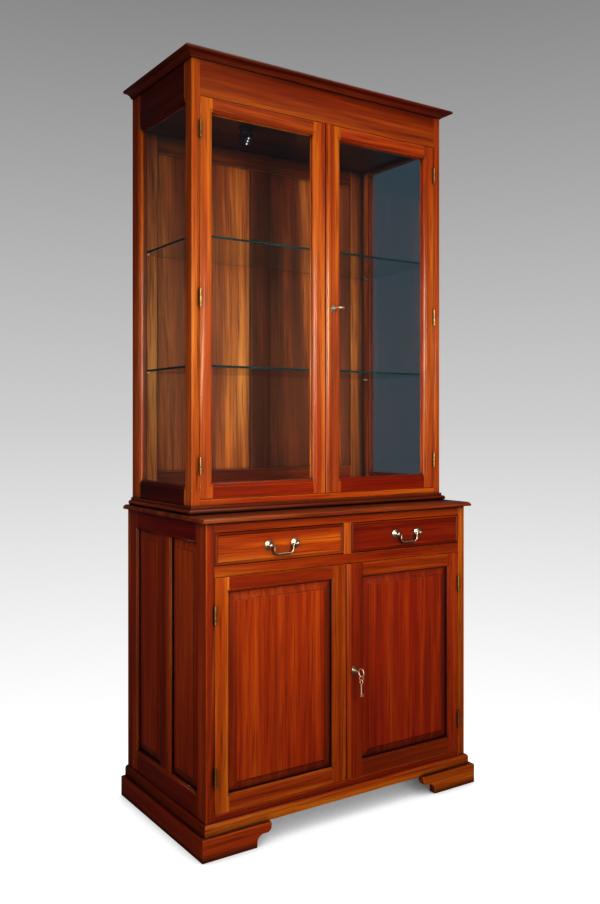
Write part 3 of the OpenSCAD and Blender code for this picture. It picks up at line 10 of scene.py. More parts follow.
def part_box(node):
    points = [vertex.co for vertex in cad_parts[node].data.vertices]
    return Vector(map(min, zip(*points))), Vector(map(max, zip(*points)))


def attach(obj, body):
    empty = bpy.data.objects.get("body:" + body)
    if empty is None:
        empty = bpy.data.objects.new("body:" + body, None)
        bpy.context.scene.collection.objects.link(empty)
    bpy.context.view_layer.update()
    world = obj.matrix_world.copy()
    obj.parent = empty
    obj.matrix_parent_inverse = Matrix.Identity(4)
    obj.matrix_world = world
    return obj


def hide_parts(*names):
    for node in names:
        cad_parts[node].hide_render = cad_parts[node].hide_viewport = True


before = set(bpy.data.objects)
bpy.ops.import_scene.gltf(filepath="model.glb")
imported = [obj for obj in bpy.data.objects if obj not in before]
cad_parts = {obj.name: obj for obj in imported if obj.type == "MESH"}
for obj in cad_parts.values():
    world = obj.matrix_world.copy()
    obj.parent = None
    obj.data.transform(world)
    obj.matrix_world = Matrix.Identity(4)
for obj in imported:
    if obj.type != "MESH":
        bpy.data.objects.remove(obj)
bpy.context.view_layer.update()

# Feet and plinth. Two bracket feet at the front and skirts along the sides, mitred at the corners, with a
# moulded plinth frame on top and rough blocks glued inside. All solid mahogany, cut on a bandsaw and run
# on a spindle moulder, then stained and french polished with the rest of the case.


def linear(hex_colour):
    """An sRGB hex colour as the linear colour that Blender's sockets hold."""
    channels = [int(hex_colour[i:i + 2], 16) / 255 for i in (1, 3, 5)]
    return [c / 12.92 if c <= 0.04045 else ((c + 0.055) / 1.055) ** 2.4 for c in channels] + [1]


def add_node(tree, kind, inputs=None, **settings):
    """Adds a node, sets it, and links or fills the named inputs."""
    node = tree.nodes.new(kind)
    for name, value in settings.items():
        setattr(node, name, value)
    for socket, value in (inputs or {}).items():
        if isinstance(value, bpy.types.NodeSocket):
            tree.links.new(value, node.inputs[socket])
        else:
            node.inputs[socket].default_value = value
    return node


def new_material(name):
    """An empty material, its node tree and its shader, already joined to the output."""
    material = bpy.data.materials.new(name)
    material.use_nodes = True
    tree = material.node_tree
    tree.nodes.clear()
    shader = add_node(tree, "ShaderNodeBsdfPrincipled")
    add_node(tree, "ShaderNodeOutputMaterial", {"Surface": shader.outputs[0]})
    return material, tree, shader


def wood(name, light, middle, dark, streak_mm, arch, figure, roughness, coat):
    """Sawn and polished wood. The eye gets fine streaks along each board, broad ribbons that catch the
    light, dark pores, a change of tone and hue from board to board, painted shade in the corners and on
    sunk slopes, and arrises lightened as rubbed wear and as a painted highlight."""
    material, tree, shader = new_material(name)
    grain = add_node(tree, "ShaderNodeAttribute", attribute_name="grain").outputs["Vector"]
    board = add_node(tree, "ShaderNodeAttribute", attribute_name="board").outputs["Vector"]
    worn = add_node(tree, "ShaderNodeAttribute", attribute_name="worn").outputs["Fac"]
    seed, tone, redness = add_node(tree, "ShaderNodeSeparateXYZ", {0: board}).outputs
    along, across, through = add_node(tree, "ShaderNodeSeparateXYZ", {0: grain}).outputs
    # how often things change per metre along, across and through a board
    drift_per_m, ribbon_per_m, pore_per_m = (1.6, 7, 7), (1.6, 16, 16), (7, 330, 330)
    # the grain wanders by about 14 mm over a metre
    wander = 0.028
    drift_place = add_node(tree, "ShaderNodeVectorMath", {0: grain, 1: drift_per_m},
                           operation="MULTIPLY").outputs[0]
    drift = add_node(tree, "ShaderNodeTexNoise",
                     {"Vector": drift_place, "W": seed, "Scale": 1, "Detail": 2},
                     noise_dimensions="4D").outputs[0]
    bent = add_node(tree, "ShaderNodeMath", {0: drift, 1: wander, 2: across},
                    operation="MULTIPLY_ADD").outputs[0]
    # growth rings round a heart that lies behind the board and runs out of it, which show as arches
    heart_slope, heart_depth = 0.09, 0.075
    heart = add_node(tree, "ShaderNodeMath", {0: along, 1: heart_slope, 2: heart_depth},
                     operation="MULTIPLY_ADD").outputs[0]
    ring_place = add_node(tree, "ShaderNodeCombineXYZ", {0: bent, 1: heart}).outputs[0]
    ring = add_node(tree, "ShaderNodeVectorMath", {0: ring_place}, operation="LENGTH").outputs["Value"]
    line = add_node(tree, "ShaderNodeMix", {0: arch, 2: bent, 3: ring}).outputs[0]
    line_place = add_node(tree, "ShaderNodeCombineXYZ", {0: along, 1: line, 2: through}).outputs[0]
    # streaks thirty-five times as long as wide, the widest of the given width and the rest ever finer
    width, longer = 1000 / streak_mm, 35
    streak_place = add_node(tree, "ShaderNodeVectorMath",
                            {0: line_place, 1: (width / longer, width, width)},
                            operation="MULTIPLY").outputs[0]
    streak = add_node(tree, "ShaderNodeTexNoise",
                      {"Vector": streak_place, "W": seed, "Scale": 1, "Detail": 6, "Roughness": 0.7},
                      noise_dimensions="4D").outputs[0]
    # ribbons of light and dark, 60 mm wide, from the tree's twisting growth
    ribbon_place = add_node(tree, "ShaderNodeVectorMath", {0: line_place, 1: ribbon_per_m},
                            operation="MULTIPLY").outputs[0]
    ribbon = add_node(tree, "ShaderNodeTexNoise",
                      {"Vector": ribbon_place, "W": seed, "Scale": 1, "Detail": 2},
                      noise_dimensions="4D").outputs[0]
    # pores 140 mm long and 3 mm wide, drawn about ten times coarser than life so that they show
    pore_place = add_node(tree, "ShaderNodeVectorMath", {0: line_place, 1: pore_per_m},
                          operation="MULTIPLY").outputs[0]
    pore_noise = add_node(tree, "ShaderNodeTexNoise",
                          {"Vector": pore_place, "W": seed, "Scale": 1, "Detail": 1},
                          noise_dimensions="4D").outputs[0]
    pore_start, pore_full, pore_darkness = 0.52, 0.7, 0.62
    pore = add_node(tree, "ShaderNodeMapRange",
                    {"Value": pore_noise, "From Min": pore_start, "From Max": pore_full,
                     "To Max": pore_darkness}).outputs[0]
    ramp = add_node(tree, "ShaderNodeValToRGB", {0: streak})
    ramp.color_ramp.elements[0].position = 0.22
    ramp.color_ramp.elements[0].color = linear(dark)
    ramp.color_ramp.elements[1].position = 0.78
    ramp.color_ramp.elements[1].color = linear(light)
    ramp.color_ramp.elements.new(0.5).color = linear(middle)
    # stain strengthens the red as it darkens, so the tone of boards and ribbons is partly a power near 1
    ribbon_tone = add_node(tree, "ShaderNodeMapRange",
                           {"Value": ribbon, "From Min": 0.25, "From Max": 0.75, "To Min": 1 + figure,
                            "To Max": 1 - figure}).outputs[0]
    tone_power, tone_value, hue_step = -0.12, 0.11, 0.005
    tones = add_node(tree, "ShaderNodeMath", {0: tone, 1: tone_power, 2: ribbon_tone},
                     operation="MULTIPLY_ADD").outputs[0]
    stained = add_node(tree, "ShaderNodeGamma", {"Color": ramp.outputs[0], "Gamma": tones}).outputs[0]
    hue = add_node(tree, "ShaderNodeMath", {0: redness, 1: hue_step, 2: 0.5},
                   operation="MULTIPLY_ADD").outputs[0]
    depth = add_node(tree, "ShaderNodeMath", {0: tone, 1: tone_value, 2: 1},
                     operation="MULTIPLY_ADD").outputs[0]
    toned = add_node(tree, "ShaderNodeHueSaturation",
                     {"Hue": hue, "Value": depth, "Color": stained}).outputs[0]
    porous = add_node(tree, "ShaderNodeMix", {0: pore, 6: toned, 7: linear(dark)},
                      data_type="RGBA").outputs[2]
    # painted shade: darker within 24 mm of the next face, where corners fall in shade, and on sunk slopes
    # turned away from the light
    corner_reach, corner_shade_depth = 0.024, 0.97
    open_air = add_node(tree, "ShaderNodeAmbientOcclusion", {"Distance": corner_reach},
                        samples=6).outputs["AO"]
    sunk = add_node(tree, "ShaderNodeAttribute", attribute_name="sunk").outputs["Fac"]
    open_share = add_node(tree, "ShaderNodeMath", {0: open_air, 1: sunk}, operation="SUBTRACT").outputs[0]
    corner = add_node(tree, "ShaderNodeMapRange",
                      {"Value": open_share, "From Min": 0.55, "From Max": 0.95, "To Min": corner_shade_depth,
                       "To Max": 0}).outputs[0]
    with_painted_shade = add_node(tree, "ShaderNodeMix", {0: corner, 6: porous, 7: linear("#120304")},
                      data_type="RGBA").outputs[2]
    # arrises are lightened: partly rubbed wear, partly a painted highlight along the edges
    rubbed_share = 0.4
    rubbed_and_highlit = add_node(tree, "ShaderNodeMath", {0: worn, 1: rubbed_share}, operation="MULTIPLY").outputs[0]
    finished = add_node(tree, "ShaderNodeMix", {0: rubbed_and_highlit, 6: with_painted_shade, 7: linear(light)},
                        data_type="RGBA").outputs[2]
    tree.links.new(finished, shader.inputs["Base Color"])
    dull = add_node(tree, "ShaderNodeMapRange",
                    {"Value": drift, "From Min": 0.3, "From Max": 0.7, "To Min": roughness - 0.05,
                     "To Max": roughness + 0.07})
    tree.links.new(dull.outputs[0], shader.inputs["Roughness"])
    hollow = add_node(tree, "ShaderNodeMath", {0: pore, 1: -0.6, 2: streak},
                      operation="MULTIPLY_ADD").outputs[0]
    bump = add_node(tree, "ShaderNodeBump", {"Height": hollow, "Strength": 0.12, "Distance": 0.0004})
    tree.links.new(bump.outputs[0], shader.inputs["Normal"])
    # the fibres under the polish give back a golden sheen, spread across the grain
    fibre = add_node(tree, "ShaderNodeAttribute", attribute_name="fibre").outputs["Vector"]
    fibre_way = add_node(tree, "ShaderNodeVectorTransform", {0: fibre}, vector_type="VECTOR",
                         convert_from="OBJECT", convert_to="WORLD").outputs[0]
    tree.links.new(fibre_way, shader.inputs["Tangent"])
    shader.inputs["Anisotropic"].default_value = 0.7
    shader.inputs["Anisotropic Rotation"].default_value = 0.25
    shader.inputs["Specular IOR Level"].default_value = 0.3
    shader.inputs["Specular Tint"].default_value = linear("#ffd9a0")
    shader.inputs["Coat Weight"].default_value = coat
    shader.inputs["Coat Roughness"].default_value = 0.18
    return material


def solid_of_vertices(coordinates, faces):
    """The rounded place of each vertex, and for each place the one place that stands for its solid."""
    places = [tuple(round(c, 6) for c in v) for v in coordinates]
    group = {place: place for place in places}

    def root(place):
        while group[place] != place:
            group[place] = group[group[place]]
            place = group[place]
        return place

    for face in faces:
        first = root(places[face[0]])
        for corner in face[1:]:
            group[root(places[corner])] = first
    return places, {place: root(place) for place in places}


# every solid of the case in one search tree, to find which arrises lie in a joint
joint_points, joint_faces, face_owner, place_owner = [], [], [], {}
for node_name, node_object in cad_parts.items():
    corners = [v.co.copy() for v in node_object.data.vertices]
    loops = [list(p.vertices) for p in node_object.data.polygons]
    places, owners = solid_of_vertices(corners, loops)
    for place, owner in owners.items():
        place_owner[node_name, place] = (node_name, owner)
    start = len(joint_points)
    joint_points += corners
    joint_faces += [[start + i for i in loop] for loop in loops]
    face_owner += [(node_name, owners[places[loop[0]]]) for loop in loops]
joint_tree = BVHTree.FromPolygons(joint_points, joint_faces)


def lies_in_joint(edge, owner):
    """True where most of an arris lies against another piece; it stays sharp, and the joint closed."""
    reach = 0.0002
    hits = 0
    for share in (0.2, 0.5, 0.8):
        point = edge.verts[0].co.lerp(edge.verts[1].co, share)
        near = joint_tree.find_nearest_range(point, reach)
        hits += any(face_owner[index] != owner for _, _, index, _ in near)
    return hits >= 2


def eased(node, arris):
    """A merged copy of a node's mesh with its free arrises rounded, and those faces marked as worn, for
    the wood to lighten as rubbed wear and as a painted highlight.
    """
    same_place, flat_angle, arris_angle = 1e-6, math.radians(0.5), math.radians(32)
    mesh = bmesh.new()
    mesh.from_mesh(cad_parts[node].data)
    worn = mesh.faces.layers.float.new("worn")
    bmesh.ops.remove_doubles(mesh, verts=mesh.verts, dist=same_place)
    bmesh.ops.dissolve_limit(mesh, angle_limit=flat_angle, verts=mesh.verts, edges=mesh.edges)
    free = []
    for edge in mesh.edges:
        if len(edge.link_faces) == 2 and edge.is_convex and edge.calc_face_angle(0) > arris_angle:
            place = tuple(round(c, 6) for c in edge.verts[0].co)
            if not lies_in_joint(edge, place_owner.get((node, place))):
                free.append(edge)
    rounded = bmesh.ops.bevel(mesh, geom=free, offset=arris, segments=2, profile=0.5, affect="EDGES",
                              clamp_overlap=True)["faces"]
    for face in rounded:
        face[worn] = 1
    return mesh


def islands(mesh):
    """Lists of the vertices of each separate board in a mesh."""
    left = set(mesh.verts)
    while left:
        board, edge = [], [left.pop()]
        while edge:
            vertex = edge.pop()
            board.append(vertex)
            for link in vertex.link_edges:
                other = link.other_vert(vertex)
                if other in left:
                    left.remove(other)
                    edge.append(other)
        yield board


def boards(node, material, body="cabinet", arris=0.0009, grain_axis=None, tone=0, painted_slope_shade=0):
    """Stands finished boards for a node: its shape with eased arrises, and the grain of each board along
    its length. Tone, about -2 to 2, is how light or dark the boards are on top of their chance
    differences, one value for all or one for each board from left to right and bottom to top; it holds
    the wood's own colour and also painted light and shade where a board stands lit or in shade. Painted
    slope shade is how much darker slopes are painted where they lie away from the light, down or to the
    right."""
    # uprights are painted lighter and rails darker, a painted sheen for the glow of upright fibres; no
    # two boards are quite alike
    upright_painted_sheen, chance_tone = 0.4, 0.4
    slope, square = 0.02, 0.999
    mesh = eased(node, arris)
    # painted shade: slopes that turn down or to the right are painted darker, the others a sixth as much
    sunk = mesh.faces.layers.float.new("sunk")
    for face in mesh.faces:
        turned_away = face.normal.z < -slope or face.normal.x > slope
        if max(abs(c) for c in face.normal) < square:
            face[sunk] = painted_slope_shade if turned_away else painted_slope_shade / 6
    draw = random.Random(node)
    grain = mesh.verts.layers.float_vector.new("grain")
    board = mesh.verts.layers.float_vector.new("board")
    fibre = mesh.verts.layers.float_vector.new("fibre")
    lists = sorted(islands(mesh), key=lambda verts: min(tuple(round(c, 5) for c in v.co) for v in verts))
    tones = tone if isinstance(tone, tuple) else (tone,) * len(lists)
    for verts, own_tone in zip(lists, tones):
        low = Vector([min(v.co[i] for v in verts) for i in range(3)])
        high = Vector([max(v.co[i] for v in verts) for i in range(3)])
        order = sorted(range(3), key=lambda i: low[i] - high[i])
        if grain_axis is not None:
            order = [grain_axis] + [i for i in order if i != grain_axis]
        middle = (low + high) / 2
        # every board is cut from another place in its plank
        shift = Vector((draw.uniform(-0.4, 0.4), draw.uniform(-0.05, 0.05), draw.uniform(-0.02, 0.02)))
        lift = upright_painted_sheen if order[0] == 2 else -upright_painted_sheen
        facts = Vector((draw.uniform(0, 40), own_tone + lift + draw.uniform(-chance_tone, chance_tone),
                        draw.uniform(-1, 1)))
        # tilted a little, as grain is, so that it is never square to a face
        along = Vector([1 if i == order[0] else 0.02 for i in range(3)])
        for v in verts:
            v[grain] = Vector([v.co[i] - middle[i] for i in order]) + shift
            v[board] = facts
            v[fibre] = along
    return stand_for(node, mesh, material, body, "polished_" + node)


# faces that meet at more than this are shaded with a crease
crease = math.radians(36)


def smooth_piece(name, mesh, material):
    """An object of a finished mesh, smooth between its creases."""
    data = bpy.data.meshes.new(name)
    for face in mesh.faces:
        face.smooth = True
    mesh.to_mesh(data)
    mesh.free()
    data.set_sharp_from_angle(angle=crease)
    data.materials.append(material)
    piece = bpy.data.objects.new(name, data)
    bpy.context.scene.collection.objects.link(piece)
    return piece


def stand_for(node, mesh, material, body, name):
    """Puts a finished mesh in the place of a node, its flat faces shaded flat."""
    piece = smooth_piece(name, mesh, material)
    piece.modifiers.new("even_shading", "WEIGHTED_NORMAL").keep_sharp = True
    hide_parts(node)
    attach(piece, body)
    return piece


mahogany = wood("french_polished_mahogany", "#d67412", "#9c3a05", "#521003",
                streak_mm=40, arch=0, figure=0.2, roughness=0.5, coat=0.4)
moulding_mahogany = wood("dark_stained_mahogany", "#9c4410", "#6a2206", "#2c0803",
                         streak_mm=40, arch=0, figure=0.16, roughness=0.48, coat=0.4)
rough_mahogany = wood("unpolished_mahogany", "#8a5230", "#6b3a20", "#4a2412",
                      streak_mm=40, arch=0, figure=0.16, roughness=0.6, coat=0)
# tones paint the front brackets lighter and the side skirts and the side runs of the plinth darker, as
# painted light and shade
boards("bracket_feet", mahogany, arris=0.0018, tone=(1.4, -0.8, 1.2, -0.8))
boards("plinth_blocks", rough_mahogany)
boards("plinth_moulding", mahogany, arris=0.0008, tone=(0.3, -1.4, 0, -0.8))

# Base carcase. Framed ends with two raised panels each, four corner posts, and rails across the front
# with an upright between the drawers. Mortised and tenoned mahogany; the panels float in grooves and were
# cut from redder, wider boards.

# mouldings and panels keep a crisp edge
fine_arris = 0.0006
panel_mahogany = wood("fine_figured_mahogany", "#c25a09", "#983203", "#5c1202",
                      streak_mm=24, arch=0, figure=0.1, roughness=0.5, coat=0.4)
boards("base_corner_posts", mahogany, tone=(-1, -1.8, -1, -1.8))
# the end rails are painted dark, darkest at the bottom, as painted shade
boards("base_end_rails", mahogany, tone=(-2.6, -2, -1.8, -2.6, -2, -1.8))
boards("base_front_rails", mahogany, tone=(-0.6, -0.9, 0.9, 0.2))
boards("base_end_panels", panel_mahogany, arris=fine_arris, tone=-0.6, painted_slope_shade=0.2)

# Inside of the cupboard. Floor, back, dust board with its bearers, and a loose shelf, planed from pale
# plain wood and only waxed, because no polish was spent where it doesn't show. The shelf lies on four
# turned and flattened brass pins.

pale_wood = wood("waxed_deal", "#d9b47e", "#c19660", "#98683a",
                 streak_mm=14, arch=0.8, figure=0.12, roughness=0.5, coat=0)
boards("base_floor_board", pale_wood)
boards("base_back_panel", pale_wood, grain_axis=2)
for node in ("drawer_dust_board", "drawer_guides", "cupboard_shelf"):
    boards(node, pale_wood)


def metal(name, bright, tarnish, roughness, patch_mm):
    """Worn metal. The eye gets a soft shine, broken by darker and duller tarnish and fine scratches."""
    material, tree, shader = new_material(name)
    place = add_node(tree, "ShaderNodeTexCoord").outputs["Object"]
    patch = add_node(tree, "ShaderNodeTexNoise",
                     {"Vector": place, "Scale": 1000 / patch_mm, "Detail": 4,
                      "Roughness": 0.65}).outputs[0]
    spread = add_node(tree, "ShaderNodeMapRange",
                      {"Value": patch, "From Min": 0.42, "From Max": 0.68}).outputs[0]
    colour = add_node(tree, "ShaderNodeMix", {0: spread, 6: linear(bright), 7: linear(tarnish)},
                      data_type="RGBA")
    tree.links.new(colour.outputs[2], shader.inputs["Base Color"])
    # scratches from polishing cloths, this far apart
    scratch_mm = 0.4
    scratch = add_node(tree, "ShaderNodeTexNoise",
                       {"Vector": place, "Scale": 1000 / scratch_mm, "Detail": 2}).outputs[0]
    dull = add_node(tree, "ShaderNodeMapRange",
                    {"Value": patch, "From Min": 0.3, "From Max": 0.75, "To Min": roughness,
                     "To Max": roughness + 0.22})
    tree.links.new(dull.outputs[0], shader.inputs["Roughness"])
    bump = add_node(tree, "ShaderNodeBump", {"Height": scratch, "Strength": 0.06, "Distance": 0.0002})
    tree.links.new(bump.outputs[0], shader.inputs["Normal"])
    shader.inputs["Metallic"].default_value = 1
    return material


def finish(node, material):
    """Gives a carried-over node its finish."""
    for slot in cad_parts[node].material_slots:
        slot.material = material


old_brass = metal("aged_brass", "#d8c6aa", "#866c4e", roughness=0.26, patch_mm=7)
finish("shelf_pins", old_brass)

# Top of the base. One wide mahogany board with a thumb-moulded edge on three sides, screwed down from
# inside. It was stained as dark as the mouldings.

# the board is painted lighter, partly as a painted highlight on its top
boards("base_top", moulding_mahogany, arris=fine_arris, tone=0.8)

# Upper carcase. A bead-and-fillet moulding round its foot, corner posts, end rails, a frieze and a bottom
# rail, all tenoned together, and a hollow cornice mitred round a plain dust board. Mahogany, polished
# outside.

# the waist moulding is painted lighter, partly as a painted highlight, and the end rails darker, as
# painted shade
boards("waist_moulding", moulding_mahogany, tone=0.8)
boards("upper_end_rails", moulding_mahogany, tone=-1)
boards("upper_front_rails", mahogany, tone=(0.6, -1.3))
boards("cornice", moulding_mahogany, arris=0.0008)
boards("top_board", rough_mahogany)
# painted light and shade: the front left post is painted lighter and the right posts darker
posts = boards("upper_corner_posts", mahogany, tone=(0.8, 0, -0.5, -0.5))
inner_mahogany = wood("oiled_mahogany", "#b8681f", "#64280a", "#1e0803",
                      streak_mm=45, arch=0.25, figure=0.2, roughness=0.46, coat=0)
posts.data.materials.append(inner_mahogany)
for face in posts.data.polygons:
    # faces turned to the inside were only oiled, and their darker wood also paints them in shade
    face.material_index = 1 if face.center.x * face.normal.x < -0.2 else 0
boards("upper_floor_board", inner_mahogany)
# the ceiling board is painted nearly black, as painted shade
boards("upper_ceiling_board", moulding_mahogany, tone=-4.5)

# Back of the upper carcase. Two flat panels in a frame of two stiles, a muntin and two rails, set in the
# rebates of the back posts. The same mahogany, thinly oiled, so its streaks show through the glass.

# painted shade: the back is painted lighter at the left and darker towards the top and the right, darkest
# on the muntin
boards("upper_back_frame", inner_mahogany, tone=(0.8, -1, -2, -3, -2))
boards("upper_back_panels", inner_mahogany, arris=0.0004, tone=(0.2, -0.6))

# Panes in the upper ends. Drawn sheet glass with a grey cast, held in its rebates by mitred mahogany
# beads. Panes throw no shadow here, so the light gets to the inside.


def glass(name, tint, haze):
    """Sheet glass. The eye gets clear reflections, a slight tint, and faint smears left by wiping."""
    material, tree, shader = new_material(name)
    place = add_node(tree, "ShaderNodeTexCoord").outputs["Object"]
    smear_mm = 62.5
    smear = add_node(tree, "ShaderNodeTexNoise",
                     {"Vector": place, "Scale": 1000 / smear_mm, "Detail": 3}).outputs[0]
    dull = add_node(tree, "ShaderNodeMapRange",
                    {"Value": smear, "From Min": 0.4, "From Max": 0.75, "To Min": 0.0, "To Max": haze})
    tree.links.new(dull.outputs[0], shader.inputs["Roughness"])
    shader.inputs["Base Color"].default_value = linear(tint)
    shader.inputs["Transmission Weight"].default_value = 1
    shader.inputs["IOR"].default_value = 1.5
    return material


end_glass = glass("sheet_glass", "#dfe5e6", haze=0.012)
finish("side_panes", end_glass)
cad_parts["side_panes"].visible_shadow = False
# the beads are painted darker, as painted shade
boards("side_pane_beads", moulding_mahogany, arris=fine_arris, tone=-1)

# Glass shelves. Two plates of float glass with ground and polished edges, which look dark green because
# the light there comes through the full width of the plate. They lie loose on eight pins.

shelf_glass = glass("float_glass", "#e6f0ec", haze=0.03)
shelf_edge, edge_tree, edge_shader = new_material("polished_glass_edge")
edge_place = add_node(edge_tree, "ShaderNodeTexCoord").outputs["Object"]
# the green is deeper and paler by turns, about every 80 mm
edge_wave = add_node(edge_tree, "ShaderNodeTexNoise",
                     {"Vector": edge_place, "Scale": 12, "Detail": 3}).outputs[0]
edge_colour = add_node(edge_tree, "ShaderNodeMix",
                       {0: edge_wave, 6: linear("#041312"), 7: linear("#123330")}, data_type="RGBA")
edge_tree.links.new(edge_colour.outputs[2], edge_shader.inputs["Base Color"])
edge_shader.inputs["Roughness"].default_value = 0.12
plates = eased("glass_shelves", fine_arris)
for face in plates.faces:
    face.material_index = 1 if abs(face.normal.z) < 0.9 else 0
shelves = stand_for("glass_shelves", plates, shelf_glass, "cabinet",
                    "polished_glass_shelves")
shelves.data.materials.append(shelf_edge)
shelves.visible_shadow = False

# Spotlight under the ceiling. A pressed steel plate with two ears carries a turned head on two pins, all
# stove enamelled black, with three moulded lenses pressed into its face.

# stoved enamel gives the eye a deep black with soft lights, broken up a little by its orange peel
black_enamel, enamel_tree, enamel_shader = new_material("stoved_black_enamel")
enamel_place = add_node(enamel_tree, "ShaderNodeTexCoord").outputs["Object"]
peel_mm = 1.25
peel = add_node(enamel_tree, "ShaderNodeTexNoise",
                {"Vector": enamel_place, "Scale": 1000 / peel_mm, "Detail": 2}).outputs[0]
enamel_colour = add_node(enamel_tree, "ShaderNodeMix",
                         {0: peel, 6: linear("#0c0c0d"), 7: linear("#1d1d1f")}, data_type="RGBA")
enamel_tree.links.new(enamel_colour.outputs[2], enamel_shader.inputs["Base Color"])
enamel_bump = add_node(enamel_tree, "ShaderNodeBump",
                       {"Height": peel, "Strength": 0.1, "Distance": 0.0002})
enamel_tree.links.new(enamel_bump.outputs[0], enamel_shader.inputs["Normal"])
enamel_shader.inputs["Roughness"].default_value = 0.28
# the lenses give the eye bright white points, faintly rippled, a ripple about every millimetre
lens, lens_tree, lens_shader = new_material("moulded_lens")
lens_place = add_node(lens_tree, "ShaderNodeTexCoord").outputs["Object"]
lens_ripple = add_node(lens_tree, "ShaderNodeTexNoise",
                       {"Vector": lens_place, "Scale": 900, "Detail": 1}).outputs[0]
lens_colour = add_node(lens_tree, "ShaderNodeMix",
                       {0: lens_ripple, 6: linear("#c9ced2"), 7: linear("#ffffff")}, data_type="RGBA")
lens_tree.links.new(lens_colour.outputs[2], lens_shader.inputs["Base Color"])
lens_shader.inputs["Roughness"].default_value = 0.08
lens_shader.inputs["Emission Color"].default_value = linear("#fff6e6")
lens_shader.inputs["Emission Strength"].default_value = 0.5
finish("spotlight_plate", black_enamel)
finish("spotlight_head", black_enamel)
lens_rim = 0.0016
bulls_eyes = eased("spotlight_lenses", lens_rim)
blackened = bulls_eyes.faces.layers.float["worn"]
face_way = max(bulls_eyes.faces, key=lambda face: face.calc_area()).normal.copy()
for face in bulls_eyes.faces:
    face.material_index = 1 if face[blackened] > 0.5 or abs(face.normal.dot(face_way)) < 0.9 else 0
domes = stand_for("spotlight_lenses", bulls_eyes, lens, "lamp_head",
                  "rimmed_spotlight_lenses")
domes.data.materials.append(black_enamel)

# Drawers. Mahogany fronts with a rounded bead mitred round the edge, on boxes of pale wood grooved for a
# thin bottom.

# the beads are painted darker than the fields, as painted shade along the drawer edges; the right drawer
# is darker throughout
drawer_tones = {"left": (-1.6, -1.6, -1.6, 0.5, -1.6), "right": (-2.6, -2.6, -2.6, -2.4, -2.6)}
for side in ("left", "right"):
    boards(side + "_drawer_front", mahogany, side + "_drawer", arris=fine_arris,
           tone=drawer_tones[side])
    boards(side + "_drawer_box", pale_wood, side + "_drawer", arris=fine_arris)

# Handles. Cast brass swan-neck bails that swing in turned posts, bolted through the drawer fronts with
# hexagon nuts. A turned collar sits where each stem leaves its domed plate.


def turned(name, outline_mm, centres, body, material):
    """Turns an outline of radius and height about a forward axis at each centre, as one mesh."""
    steps = 40
    mesh = bmesh.new()
    for centre in centres:
        rings = []
        for radius, height in outline_mm:
            rings.append([mesh.verts.new((
                centre[0] + radius / 1000 * math.cos(2 * math.pi * i / steps), centre[1] - height / 1000,
                centre[2] + radius / 1000 * math.sin(2 * math.pi * i / steps))) for i in range(steps)])
        for low, high in zip(rings, rings[1:] + rings[:1]):
            for i in range(steps):
                j = (i + 1) % steps
                mesh.faces.new((low[i], low[j], high[j], high[i]))
    bmesh.ops.recalc_face_normals(mesh, faces=mesh.faces)
    piece = smooth_piece(name, mesh, material)
    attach(piece, body)


# the bead round a drawer stands this far before its face
bead_proud = 0.002
collar = [(3.6, 4.4), (6.4, 4.2), (6.9, 4.7), (6.4, 5.3), (5.4, 5.6), (5, 6.2), (3.6, 6.4)]
for side in ("left", "right"):
    finish(side + "_handle_posts", old_brass)
    finish(side + "_handle_bail", old_brass)
    low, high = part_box(side + "_handle_posts")
    plate_radius = (high.z - low.z) / 2
    middle_z = (low.z + high.z) / 2
    drawer_low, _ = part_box(side + "_drawer_front")
    face_y = drawer_low.y + bead_proud
    turned(side + "_handle_collars", collar,
           [(low.x + plate_radius, face_y, middle_z), (high.x - plate_radius, face_y, middle_z)],
           side + "_drawer", old_brass)

# Cupboard doors. Mortised frames with a raised and fielded panel; the right one carries the lock and a
# half-round bead planted along its meeting edge to cover the gap.

# the right door's panel is painted darker than the left's, partly for the wood's own colour and partly as
# painted shade
base_tones = {"left": (0.3, 0, -0.6, -0.9), "right": (-1.3, 0.2, -0.4, 0, -0.6)}
for side in ("left", "right"):
    boards(f"base_{side}_door_frame", mahogany, f"base_{side}_door", tone=base_tones[side])
    boards(f"base_{side}_door_panel", panel_mahogany, f"base_{side}_door",
           arris=fine_arris, tone=0 if side == "left" else -0.8, painted_slope_shade=0.2)

# Glazed doors. Mortised frames with a moulded inner edge; clear panes lie in rebates behind it, held by
# plain beads.

# tones paint the right door darker than the left, partly for the wood's own colour and partly as painted
# shade
upper_tones = {"left": (0.3, -1.2, -0.2, -0.6), "right": (-0.7, -0.2, -1.4, -0.6, -0.9)}
door_glass = glass("clear_sheet_glass", "#f4f8f6", haze=0.015)
for side in ("left", "right"):
    boards(f"upper_{side}_door_frame", mahogany, f"upper_{side}_door", tone=upper_tones[side])
    boards(f"upper_{side}_door_beads", mahogany, f"upper_{side}_door", arris=fine_arris)
    finish(f"upper_{side}_door_pane", door_glass)
    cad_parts[f"upper_{side}_door_pane"].visible_shadow = False

# Hinges. Solid drawn brass butts, their leaves let into posts and stiles, each leaf with three
# countersunk slotted screws.

hinge_brass = metal("patinated_brass", "#a8824e", "#62441f", roughness=0.36, patch_mm=9)
screws = bpy.data.node_groups.new("countersunk_screws", "GeometryNodeTree")
screws.is_modifier = True
screws.interface.new_socket("Geometry", in_out="INPUT", socket_type="NodeSocketGeometry")
head_size = screws.interface.new_socket("Head Diameter", in_out="INPUT", socket_type="NodeSocketFloat")
slot_size = screws.interface.new_socket("Slot Width", in_out="INPUT", socket_type="NodeSocketFloat")
head_seed = screws.interface.new_socket("Seed", in_out="INPUT", socket_type="NodeSocketInt")
head_metal = screws.interface.new_socket("Metal", in_out="INPUT", socket_type="NodeSocketMaterial")
screws.interface.new_socket("Geometry", in_out="OUTPUT", socket_type="NodeSocketGeometry")
given = add_node(screws, "NodeGroupInput").outputs
